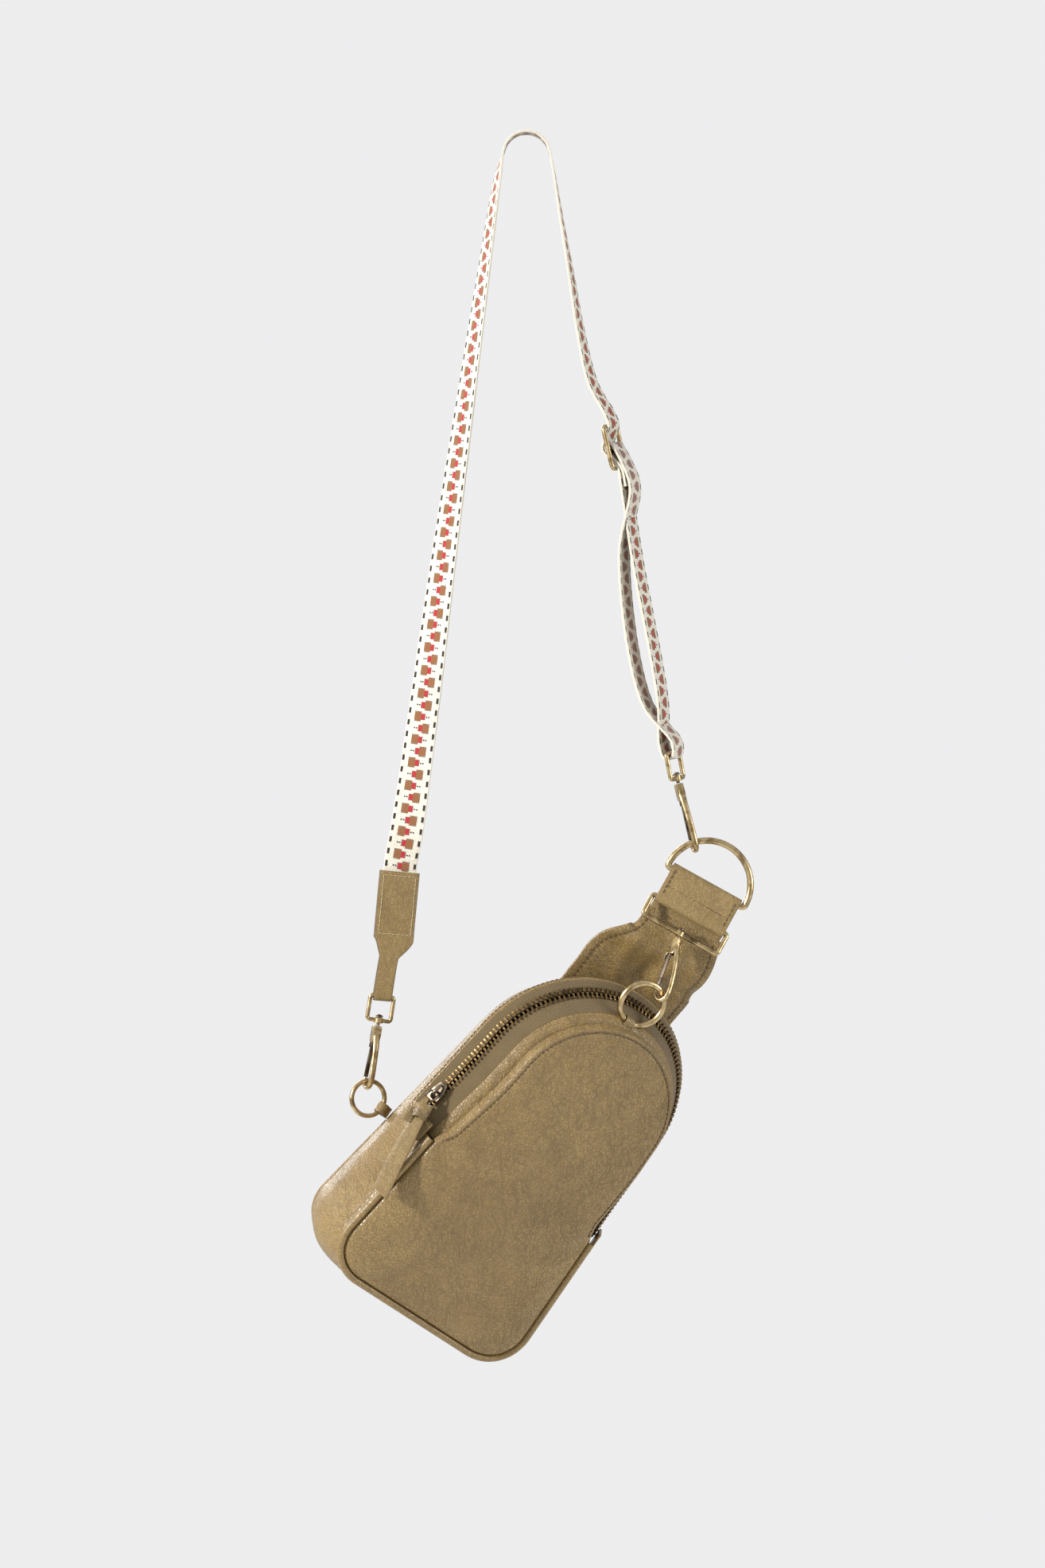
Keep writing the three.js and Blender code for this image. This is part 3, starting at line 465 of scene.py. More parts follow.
class Effects:
    """Node groups shared by the finishes; each gives only colours, masks and heights."""

    def __init__(self) -> None:
        """Builds every group once."""
        self.leather = self._leather()
        self.scratches = self._scratches()
        self.weave = self._weave()
        self.pattern = self._pattern()

    def _group(self, name: str, inputs: Sequence[tuple[str, str]], outputs: Sequence[tuple[str, str]]
               ) -> tuple[Graph, bpy.types.Node, bpy.types.Node, bpy.types.NodeTree]:
        """Starts a node group.

        Args:
            name: Name of the group.
            inputs: Pairs of name and kind ("Float", "Vector" or "Color").
            outputs: The same for the outputs.

        Returns:
            Its graph, input node, output node and tree.
        """
        tree = bpy.data.node_groups.new(name, "ShaderNodeTree")
        for direction, sockets in (("INPUT", inputs), ("OUTPUT", outputs)):
            for socket, kind in sockets:
                tree.interface.new_socket(socket, in_out=direction, socket_type="NodeSocket" + kind)
        return Graph(tree), tree.nodes.new("NodeGroupInput"), tree.nodes.new("NodeGroupOutput"), tree

    def _leather(self) -> bpy.types.NodeTree:
        """Pebbled grain with fine veins, larger soft creases and slow changes of tone."""
        graph, start, end, tree = self._group(
            "leather_grain", [("Vector", "Vector")],
            [("Height", "Float"), ("Crease Shade", "Float"), ("Tone", "Float"), ("Gloss", "Float")])
        here = start.outputs[0]
        warp = graph.add("TexNoise", Vector=here, Scale=420.0, Detail=2.0)
        bent = graph.add("VectorMath", operation="MULTIPLY_ADD")
        graph.feed(bent.inputs[0], warp.outputs[1])
        bent.inputs[1].default_value = (0.0011, 0.0011, 0.0011)
        graph.feed(bent.inputs[2], here)
        pebbles = graph.add("TexVoronoi", feature="DISTANCE_TO_EDGE", Vector=bent.outputs[0], Scale=540.0)
        veins = graph.add("TexVoronoi", feature="DISTANCE_TO_EDGE", Vector=bent.outputs[0], Scale=215.0)
        pebble = graph.between(pebbles.outputs[0], 0.0, 0.17)
        vein = graph.between(veins.outputs[0], 0.0, 0.06)
        patch = graph.between(graph.noise(here, 26.0, 3.0), 0.42, 0.62)
        grain = graph.math("MULTIPLY", pebble, graph.math("MULTIPLY_ADD", patch, 0.35, 0.65))
        rough = graph.noise(here, 1800.0, 2.0)
        wrinkle = graph.noise(graph.stretched(here, 150.0, 90.0, 60.0), 1.0, 4.0, 1.4)
        fold = graph.between(graph.math("ABSOLUTE", graph.math("SUBTRACT", wrinkle, 0.5)), 0.0, 0.045)
        marks = graph.math("MAXIMUM", fold, graph.between(graph.noise(here, 17.0), 0.46, 0.56))
        height = graph.math("ADD", graph.math("MULTIPLY", grain, 0.5), graph.math("MULTIPLY", vein, 0.28))
        height = graph.math("MULTIPLY_ADD", marks, 0.5, height)
        height = graph.math("MULTIPLY_ADD", rough, 0.14, height)
        # Crease shade mask: 1 in the grain's grooves and wrinkle lines, where the leathers paint shade into their
        # colour.
        crease_shade = graph.math("SUBTRACT", 1.0, graph.math("MULTIPLY", graph.math("MULTIPLY", pebble, vein), marks))
        tone = graph.math("MULTIPLY_ADD", graph.noise(here, 9.0, 4.0), 0.6, graph.math(
            "MULTIPLY", graph.noise(here, 75.0, 3.0), 0.4))
        gloss = graph.math("MULTIPLY_ADD", graph.noise(here, 34.0, 3.0), 0.6, graph.math("MULTIPLY", pebble, 0.4))
        for socket, value in zip(end.inputs, (height, crease_shade, tone, gloss)):
            graph.feed(socket, value)
        return tree

    def _scratches(self) -> bpy.types.NodeTree:
        """Fine brushed lines, tarnish patches and small dents for metal."""
        graph, start, end, tree = self._group(
            "brushed_metal", [("Vector", "Vector")], [("Height", "Float"), ("Tarnish", "Float"), ("Lines", "Float")])
        here = start.outputs[0]
        lines = graph.noise(graph.stretched(here, 900.0, 900.0, 5200.0), 1.0, 3.0)
        cross = graph.noise(graph.stretched(here, 5200.0, 700.0, 900.0), 1.0, 2.0)
        brushed = graph.math("MULTIPLY_ADD", lines, 0.6, graph.math("MULTIPLY", cross, 0.4))
        tarnish = graph.between(graph.noise(here, 160.0, 5.0, 0.6), 0.4, 0.68)
        height = graph.math("MULTIPLY_ADD", graph.noise(here, 420.0, 3.0), 0.5, brushed)
        for socket, value in zip(end.inputs, (height, tarnish, brushed)):
            graph.feed(socket, value)
        return tree

    def _weave(self) -> bpy.types.NodeTree:
        """Over-and-under threads; coordinates are metres along and across."""
        graph, start, end, tree = self._group(
            "thread_weave", [("Vector", "Vector"), ("Pitch", "Float")], [("Height", "Float"), ("Gap Shade", "Float")])
        split = graph.add("SeparateXYZ", Vector=start.outputs[0])
        turns = graph.math("DIVIDE", math.pi, start.outputs[1])
        along = graph.math("SINE", graph.math("MULTIPLY", split.outputs[0], turns))
        across = graph.math("SINE", graph.math("MULTIPLY", split.outputs[1], turns))
        both = graph.math("ABSOLUTE", graph.math("MULTIPLY", along, across))
        height = graph.math("POWER", both, 0.5)
        # Gap mask: 1 between the threads, where the cloths paint shade into their colour.
        weave_gap_shade = graph.math("SUBTRACT", 1.0, graph.between(both, 0.02, 0.3))
        for socket, value in zip(end.inputs, (height, weave_gap_shade)):
            graph.feed(socket, value)
        return tree

    def _pattern(self) -> bpy.types.NodeTree:
        """Woven strap pattern: motifs that alternate from side to side and dashes along both edges."""
        graph, start, end, tree = self._group(
            "strap_pattern", [("Vector", "Vector")],
            [("Brown", "Float"), ("Red", "Float"), ("Dark", "Float")])
        split = graph.add("SeparateXYZ", Vector=graph.stretched(start.outputs[0], 1000.0, 1000.0, 1000.0))
        shake = graph.math("SUBTRACT", graph.noise(start.outputs[0], 2600.0, 0.0), 0.5)
        along = graph.math("MULTIPLY_ADD", shake, 0.5, split.outputs[0])
        across = graph.math("MULTIPLY_ADD", shake, 0.35, split.outputs[1])
        count = graph.math("DIVIDE", along, MOTIF_PITCH)
        number = graph.math("FLOOR", count)
        odd = graph.math("MULTIPLY", graph.math("FRACT", graph.math("MULTIPLY", number, 0.5)), 2.0)
        side = graph.math("MULTIPLY_ADD", odd, 2.0, -1.0)
        step = graph.math("MULTIPLY", graph.math("SUBTRACT", graph.math("SUBTRACT", count, number), 0.5), MOTIF_PITCH)
        lane = graph.math("MULTIPLY", across, side)

        def block(centre: float, half: float, reach: float) -> bpy.types.NodeSocket:
            """Returns a block's mask from its place across, its half width and its half length."""
            return graph.math("MULTIPLY", graph.inside(lane, centre, half, 0.35),
                              graph.inside(step, 0.0, reach, 0.35))

        brown = graph.math("MAXIMUM", block(-3.7, 1.75, 2.4), block(-2.4, 1.5, 3.0))
        red = block(0.4, 1.35, 1.9)
        rim = graph.math("MAXIMUM", block(-3.2, 2.4, 3.25), block(0.5, 1.6, 2.15))
        beads = graph.inside(graph.math("PINGPONG", lane, 0.75), 0.0, 0.52, 0.3)
        tip = graph.math("MULTIPLY", block(3.4, 1.7, 0.5), beads)
        dash = graph.math("FRACT", graph.math("DIVIDE", along, DASH_PITCH))
        edge = graph.math("MULTIPLY", graph.inside(graph.math("ABSOLUTE", across), 9.1, 0.85, 0.3),
                          graph.inside(dash, 0.5, 0.24, 0.06))
        dark = graph.math("MAXIMUM", graph.math("MAXIMUM", tip, edge), graph.math("MULTIPLY", rim, 0.75))
        for socket, value in zip(end.inputs, (brown, red, dark)):
            graph.feed(socket, value)
        return tree


MOTIF_PITCH = 7.3
DASH_PITCH = 7.5


@dataclass(frozen=True)
class Finish:
    """A finish: its name and the material slot of the record that it belongs to."""

    name: str
    slot: Slot | None

    def build(self, effects: Effects) -> bpy.types.Material:
        """Builds the material.

        Args:
            effects: Shared node groups.

        Returns:
            The material.
        """
        material = bpy.data.materials.new(self.name)
        material.use_nodes = True
        graph = Graph(material.node_tree)
        material.node_tree.nodes.clear()
        shader = graph.add("BsdfPrincipled")
        output = graph.add("OutputMaterial")
        graph.feed(output.inputs[0], shader.outputs[0])
        self.dress(graph, shader, effects)
        return material

    def dress(self, graph: Graph, shader: bpy.types.Node, effects: Effects) -> None:
        """Feeds the shader; each kind of finish does this its own way."""
        raise NotImplementedError

    @staticmethod
    def raise_surface(graph: Graph, shader: bpy.types.Node, height: object, depth: float) -> None:
        """Bumps the surface by a height from 0 to 1 times a depth in millimetres."""
        relief = graph.add("Bump", Strength=1.0, Distance=depth * MM, Height=height)
        graph.feed(shader.inputs["Normal"], relief.outputs[0])


@dataclass(frozen=True)
class Leather(Finish):
    """Grained leather."""

    low: Colour = (0.2, 0.15, 0.08, 1)
    high: Colour = (0.4, 0.3, 0.16, 1)
    # Painted shade colour laid into the grain's grooves and wrinkle lines.
    crease_shade: Colour = (0.1, 0.07, 0.04, 1)
    depth: float = 0.36
    roughness: tuple[float, float] = (0.26, 0.48)

    def dress(self, graph: Graph, shader: bpy.types.Node, effects: Effects) -> None:
        """Mixes the tones, paints shade into the grain's creases and bumps the grain."""
        place = graph.add("TexCoord")
        grain = graph.add("Group", node_tree=effects.leather)
        graph.feed(grain.inputs[0], place.outputs["Object"])
        height, crease_shade, tone, gloss = grain.outputs
        base = graph.mix(graph.between(tone, 0.32, 0.68), self.low, self.high)
        # Painted shade: darkens the grain's grooves and wrinkle lines towards the crease colour.
        base = graph.mix(graph.math("MULTIPLY", crease_shade, 0.44), base, self.crease_shade)
        graph.feed(shader.inputs["Base Color"], base)
        low, high = self.roughness
        rough = graph.math("MULTIPLY_ADD", gloss, low - high, high)
        graph.feed(shader.inputs["Roughness"], graph.math("MULTIPLY_ADD", crease_shade, 0.14, rough))
        shader.inputs["Coat Weight"].default_value = 0.1
        shader.inputs["Coat Roughness"].default_value = 0.35
        self.raise_surface(graph, shader, height, self.depth)


@dataclass(frozen=True)
class Metal(Finish):
    """Brushed metal with tarnish."""

    clean: Colour = (0.6, 0.45, 0.25, 1)
    dull: Colour = (0.3, 0.22, 0.12, 1)
    roughness: tuple[float, float] = (0.26, 0.42)

    def dress(self, graph: Graph, shader: bpy.types.Node, effects: Effects) -> None:
        """Mixes clean and tarnished metal and brushes the surface."""
        place = graph.add("TexCoord")
        marks = graph.add("Group", node_tree=effects.scratches)
        graph.feed(marks.inputs[0], place.outputs["Object"])
        height, tarnish, lines = marks.outputs
        shader.inputs["Metallic"].default_value = 1.0
        graph.feed(shader.inputs["Base Color"], graph.mix(tarnish, self.clean, self.dull))
        low, high = self.roughness
        graph.feed(shader.inputs["Roughness"], graph.math("MULTIPLY_ADD", lines, high - low, low))
        self.raise_surface(graph, shader, height, 0.018)


@dataclass(frozen=True)
class Cloth(Finish):
    """Plain woven tape or thread."""

    thread: Colour = (0.3, 0.24, 0.13, 1)
    pitch: float = 0.7
    depth: float = 0.16

    def dress(self, graph: Graph, shader: bpy.types.Node, effects: Effects) -> None:
        """Weaves one colour of thread and paints shade into the gaps between threads."""
        place = graph.add("TexCoord")
        weave = graph.add("Group", node_tree=effects.weave)
        graph.feed(weave.inputs[0], place.outputs["UV"])
        weave.inputs[1].default_value = self.pitch * MM
        height, weave_gap_shade = weave.outputs
        worn = graph.noise(place.outputs["Object"], 60.0, 3.0)
        # Painted shade: the gaps between the threads are darkened to 0.42 of the thread colour.
        dark = tuple(c * 0.42 for c in self.thread[:3]) + (1.0,)
        light = tuple(min(1.0, c * 1.15) for c in self.thread[:3]) + (1.0,)
        base = graph.mix(graph.between(worn, 0.3, 0.7), self.thread, light)
        graph.feed(shader.inputs["Base Color"], graph.mix(graph.math("MULTIPLY", weave_gap_shade, 0.7), base, dark))
        shader.inputs["Roughness"].default_value = 0.8
        shader.inputs["Sheen Weight"].default_value = 0.15
        self.raise_surface(graph, shader, height, self.depth)


@dataclass(frozen=True)
class StrapCloth(Finish):
    """Patterned webbing; the reverse face shows the floating threads."""

    ground: Colour = srgb(236, 230, 214)
    brown: Colour = srgb(142, 92, 54)
    red: Colour = srgb(178, 32, 46)
    dark: Colour = srgb(34, 26, 24)
    colour_share: float = 1.0

    def dress(self, graph: Graph, shader: bpy.types.Node, effects: Effects) -> None:
        """Lays the pattern's colours over the ground, paints shade into the weave's gaps and bumps the weave."""
        place = graph.add("TexCoord")
        pattern = graph.add("Group", node_tree=effects.pattern)
        graph.feed(pattern.inputs[0], place.outputs["UV"])
        weave = graph.add("Group", node_tree=effects.weave)
        graph.feed(weave.inputs[0], place.outputs["UV"])
        weave.inputs[1].default_value = 0.75 * MM
        brown, red, dark = pattern.outputs
        height, weave_gap_shade = weave.outputs
        soiled = graph.between(graph.noise(place.outputs["Object"], 30.0, 4.0), 0.3, 0.75)
        shade = tuple(c * 0.86 for c in self.ground[:3]) + (1.0,)
        base = graph.mix(soiled, self.ground, shade)
        for mask, ink in ((dark, self.dark), (brown, self.brown), (red, self.red)):
            base = graph.mix(graph.math("MULTIPLY", mask, self.colour_share), base, ink)
        # Painted shade: the gaps between the threads are darkened towards a grey brown.
        gap_shaded = graph.mix(graph.math("MULTIPLY", weave_gap_shade, 0.34), base, srgb(96, 84, 66))
        graph.feed(shader.inputs["Base Color"], gap_shaded)
        shader.inputs["Roughness"].default_value = 0.85
        shader.inputs["Sheen Weight"].default_value = 0.1
        raised = graph.math("MULTIPLY_ADD", graph.math("MAXIMUM", brown, red), 0.35, height)
        self.raise_surface(graph, shader, raised, 0.22)


@dataclass(frozen=True)
class Plaster(Finish):
    """Matt pale ground under the object."""

    tone: Colour = (0.8, 0.8, 0.79, 1)

    def dress(self, graph: Graph, shader: bpy.types.Node, effects: Effects) -> None:
        """Gives a slightly uneven matt surface."""
        place = graph.add("TexCoord")
        spots = graph.noise(place.outputs["Object"], 14.0, 4.0)
        darker = tuple(c * 0.95 for c in self.tone[:3]) + (1.0,)
        graph.feed(shader.inputs["Base Color"], graph.mix(spots, self.tone, darker))
        shader.inputs["Roughness"].default_value = 0.9


class Look(Enum):
    """Every finish that the scene uses."""

    # Each leather's third colour is the painted shade for its grain's grooves and wrinkle lines.
    BODY = Leather("body_leather_grained", Slot.BODY, srgb(130, 105, 60), srgb(146, 121, 73), srgb(64, 49, 26))
    PIPING = Leather("piping_leather_smooth", Slot.PIPING, srgb(129, 105, 61), srgb(145, 120, 74),
                     srgb(74, 60, 36), 0.12, (0.26, 0.44))
    TAB = Leather("tab_leather_smooth", Slot.TAB, srgb(133, 110, 67), srgb(149, 126, 82), srgb(72, 56, 31),
                  0.1, (0.32, 0.5))
    EDGE = Leather("tab_leather_edge_paint", Slot.TAB, srgb(106, 88, 56), srgb(124, 104, 68), srgb(80, 64, 40),
                   0.05, (0.3, 0.42))
    BRASS = Metal("brushed_brass_light", Slot.BRASS, srgb(196, 174, 132), srgb(140, 118, 82), (0.24, 0.4))
    ANTIQUE = Metal("antique_brass_dark", Slot.ANTIQUE, srgb(138, 124, 106), srgb(74, 64, 52), (0.2, 0.38))
    TEETH = Metal("zip_metal_antique", Slot.ZIP, srgb(140, 116, 78), srgb(82, 64, 40), (0.28, 0.44))
    TAPE = Cloth("zip_tape_woven", Slot.TAPE, srgb(106, 88, 56), 0.9, 0.3)
    THREAD = Cloth("thread_twisted", Slot.BODY, srgb(86, 66, 38), 0.45, 0.1)
    PALE_THREAD = Cloth("thread_pale", Slot.TAB, srgb(184, 168, 128), 0.45, 0.1)
    WEBBING = StrapCloth("webbing_patterned", Slot.WEBBING)
    REVERSE = StrapCloth("webbing_reverse", Slot.WEBBING, srgb(230, 223, 208), srgb(132, 92, 64), srgb(158, 48, 50),
                         srgb(40, 33, 30), 0.75)
    FLOOR = Plaster("pale_ground", None)


@dataclass
class Workshop:
    """Turns shapes into pieces that ride on the frame, and keeps what it has made."""

    effects: Effects = field(default_factory=Effects)
    materials: dict[Look, bpy.types.Material] = field(default_factory=dict)
    made: list[bpy.types.Object] = field(default_factory=list)

    def material(self, look: Look) -> bpy.types.Material:
        """Returns a finish's material, built when first asked for."""
        if look not in self.materials:
            self.materials[look] = look.value.build(self.effects)
        return self.materials[look]

    def mesh(self, name: str, shape: Shape, looks: Sequence[Look], sharp: float = 40.0) -> bpy.types.Object:
        """Makes a mesh object.

        Args:
            name: Name of the object.
            shape: Its geometry.
            looks: Finishes, in the order of the shape's finish numbers.
            sharp: Angle in degrees above which an edge is shaded sharp.

        Returns:
            The object, in the scene.
        """
        data = bpy.data.meshes.new(name)
        data.from_pydata([tuple(p) for p in shape.points], [], shape.faces)
        lay = data.uv_layers.new(name="lay")
        lay.data.foreach_set("uv", [value for face in shape.corners for corner in face for value in corner])
        data.polygons.foreach_set("material_index", shape.finishes)
        for look in looks:
            data.materials.append(self.material(look))
        data.shade_smooth()
        data.set_sharp_from_angle(angle=math.radians(sharp))
        data.validate()
        piece = bpy.data.objects.new(name, data)
        bpy.context.scene.collection.objects.link(piece)
        return piece

    def fit(self, name: str, shape: Shape, looks: Sequence[Look], body: str, nodes: Sequence[str],
            sharp: float = 40.0) -> bpy.types.Object:
        """Makes a piece and sets it on the frame.

        Args:
            name: Name of the piece.
            shape: Its geometry in the row frame.
            looks: Finishes, in the order of the shape's finish numbers.
            body: CAD body that it moves with.
            nodes: CAD nodes that it stands for.
            sharp: Angle in degrees above which an edge is shaded sharp.

        Returns:
            The piece.
        """
        piece = self.mesh(name, shape, looks, sharp)
        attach(piece, body)
        if nodes:
            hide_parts(*nodes)
        self.made.append(piece)
        LOG.info("%s on %s, %d faces, for %s", name, body, len(shape.faces), ", ".join(nodes) or "no node")
        return piece


# ------------------------------------------------------------------ bag body
def flow(stations: Sequence[tuple[float, float]], at: float) -> float:
    """Returns a smooth value through (place, value) stations, without flat spots at them."""
    last = len(stations) - 1
    i = min(max(k for k, (place, _) in enumerate(stations) if place <= at + 1e-9), last - 1)

    def slope(k: int) -> float:
        """Returns the slope at a station from its neighbours."""
        (x0, y0), (x1, y1) = stations[max(k - 1, 0)], stations[min(k + 1, last)]
        return (y1 - y0) / (x1 - x0)

    (x0, y0), (x1, y1) = stations[i], stations[i + 1]
    span = x1 - x0
    t = (at - x0) / span
    return (y0 * (1 + 2 * t) * (1 - t) ** 2 + slope(i) * span * t * (1 - t) ** 2
            + y1 * t * t * (3 - 2 * t) + slope(i + 1) * span * t * t * (t - 1))


ZIP_SEAM, ZIP_FRONT, ZIP_TEETH, ZIP_BACK = 2.65, 8.6, 18.0, 24.4
ZIP_INSET, ZIP_SLOPE, ZIP_SKEW = 8.5, 0.85, 4.5
STRIP_START = 2.3
FRONT_TAPE, BACK_TAPE = (7.8, 17.0), (19.0, 25.2)
TOOTH_REACH = 1.25
STITCH_ROW = 11


def zip_offset(y: float) -> float:
    """Returns the offset of the sloping face that carries the zip, at a depth, in millimetres."""
    return -ZIP_INSET + ZIP_SLOPE * (y - ZIP_SEAM)


@dataclass(frozen=True)
class RimPoint:
    """Point of the bag's outline with the outward direction there, in millimetres."""

    x: float
    z: float
    nx: float
    nz: float

    def lean(self, y: float) -> float:
        """Returns how far the arch leans sideways here: most at its front seam, nothing behind the zip."""
        share = min(1.0, max(0.0, (y - ZIP_SEAM) / (ZIP_BACK - ZIP_SEAM)))
        return ZIP_SKEW * ramp(self.z, 104, 164) * (1 - share)

    def out(self, offset: float, y: float) -> Vector:
        """Returns the point moved out by an offset, at a depth."""
        return mm(self.x + self.nx * offset + self.lean(y), y, self.z + self.nz * offset)


@dataclass(frozen=True)
class Fold:
    """Soft dent along a line of the front panel, in millimetres."""

    start: tuple[float, float]
    end: tuple[float, float]
    width: float
    depth: float

    def at(self, x: float, z: float) -> float:
        """Returns how deep the dent is at a point."""
        line = Vector(self.end) - Vector(self.start)
        place = Vector((x, z)) - Vector(self.start)
        share = min(1.0, max(0.0, place.dot(line) / line.length_squared))
        away = (place - line * share).length
        return self.depth * math.exp(-((away / self.width) ** 2)) * (1 - 0.4 * share)


@dataclass
class BagForm:
    """Outline, depth and placement of the bag's body; lengths in millimetres."""

    height: float = 239.0
    half_width: float = 77.0
    arch_radius: float = 65.3
    corner: float = 30.0
    depth_bottom: float = 62.0
    depth_top: float = 46.0
    zip_end: float = 104.0
    piping: float = 2.3
    centre_z: float = 112.0
    steps: int = 170
    placement: Matrix = field(init=False)
    outline: list[RimPoint] = field(init=False)

    def __post_init__(self) -> None:
        """Places the bag and runs its outline from the bottom middle round by the right side."""
        turn = [Matrix.Rotation(math.radians(a), 4, axis) for a, axis in ((35, "Y"), (27, "Z"), (7, "X"))]
        self.placement = Matrix.Translation(mm(-73.1, -2.6, -745.7)) @ turn[0] @ turn[1] @ turn[2]
        right = self._half()
        loop = right + [(-x, z) for x, z in right[-2:0:-1]]
        self.outline = []
        for i, (x, z) in enumerate(loop):
            before, after = loop[i - 1], loop[(i + 1) % len(loop)]
            normal = Vector((after[1] - before[1], before[0] - after[0])).normalized()
            self.outline.append(RimPoint(x, z, normal.x, normal.y))

    def _half(self) -> list[tuple[float, float]]:
        """Returns evenly spaced points of the right half, bottom to top."""
        arch_z = self.height - self.arch_radius
        lean = math.atan2(self.half_width - self.arch_radius, arch_z - self.corner)
        corner = [Vector(p) for p in ((self.half_width - self.corner, 0.0),
                                      (self.half_width - 0.42 * self.corner, 0.0),
                                      (self.half_width + 0.6, 0.42 * self.corner), (self.half_width, self.corner))]
        dense = [Vector((0.0, 0.0))]
        for i in range(61):
            t = i / 60
            weights = ((1 - t) ** 3, 3 * t * (1 - t) ** 2, 3 * t * t * (1 - t), t ** 3)
            dense.append(sum((p * w for p, w in zip(corner, weights)), Vector((0.0, 0.0))))
        for i in range(121):
            angle = lean + (math.pi / 2 - lean) * i / 120
            dense.append(Vector((self.arch_radius * math.cos(angle), arch_z + self.arch_radius * math.sin(angle))))
        lengths = [0.0]
        for a, b in zip(dense, dense[1:]):
            lengths.append(lengths[-1] + (b - a).length)
        result, k = [], 0
        for n in range(self.steps + 1):
            target = lengths[-1] * n / self.steps
            while k < len(dense) - 2 and lengths[k + 1] < target:
                k += 1
            t = (target - lengths[k]) / (lengths[k + 1] - lengths[k])
            point = dense[k].lerp(dense[k + 1], t)
            result.append((point.x, point.y))
        return result

    def at(self, z: float, sign: int) -> RimPoint:
        """Returns the outline point at a height on the right (1) or left (-1) side."""
        right = self.outline[:self.steps + 1]
        i = next(k for k, p in enumerate(right) if k and p.z >= z)
        a, b = right[i - 1], right[i]
        t = (z - a.z) / (b.z - a.z)
        normal = Vector((b.z - a.z, a.x - b.x)).normalized()
        return RimPoint(sign * (a.x + t * (b.x - a.x)), z, sign * normal.x, normal.y)

    def arch(self) -> list[RimPoint]:
        """Returns the run along the zip, from the right end to the left end."""
        inside = [p for p in self.outline if p.z > self.zip_end + 1]
        return [self.at(self.zip_end + 0.2, 1), *inside, self.at(self.zip_end + 0.2, -1)]

    def cradle(self) -> list[RimPoint]:
        """Returns the run under the zip's ends, from the right end to the left end."""
        half = self.steps
        right = [p for p in self.outline[half:0:-1] if p.z < self.zip_end - 1]
        left = [p for p in self.outline[:0:-1] if p.x < 0 and p.z < self.zip_end - 1]
        bottom = self.outline[0]
        return [self.at(self.zip_end - 0.2, 1), *right, bottom, *left, self.at(self.zip_end - 0.2, -1)]

    def depth(self, z: float) -> float:
        """Returns the bag's depth at a height."""
        return self.depth_bottom + (self.depth_top - self.depth_bottom) * z / self.height

    def bulge(self, z: float) -> float:
        """Returns how far the side walls bulge at a height."""
        return 5 * math.sin(math.pi * min(1.0, 0.2 + 0.8 * z / self.height))

    def place(self, shape: Shape) -> Shape:
        """Returns a bag-local shape set in the row frame."""
        return shape.moved(self.placement)


def crumple(point: Vector, scale: float, seed: float) -> float:
    """Returns smooth noise from -1 to 1; scale is in millimetres."""
    return noise.noise(point / (scale * MM) + Vector((seed, seed * 0.7, -seed)))


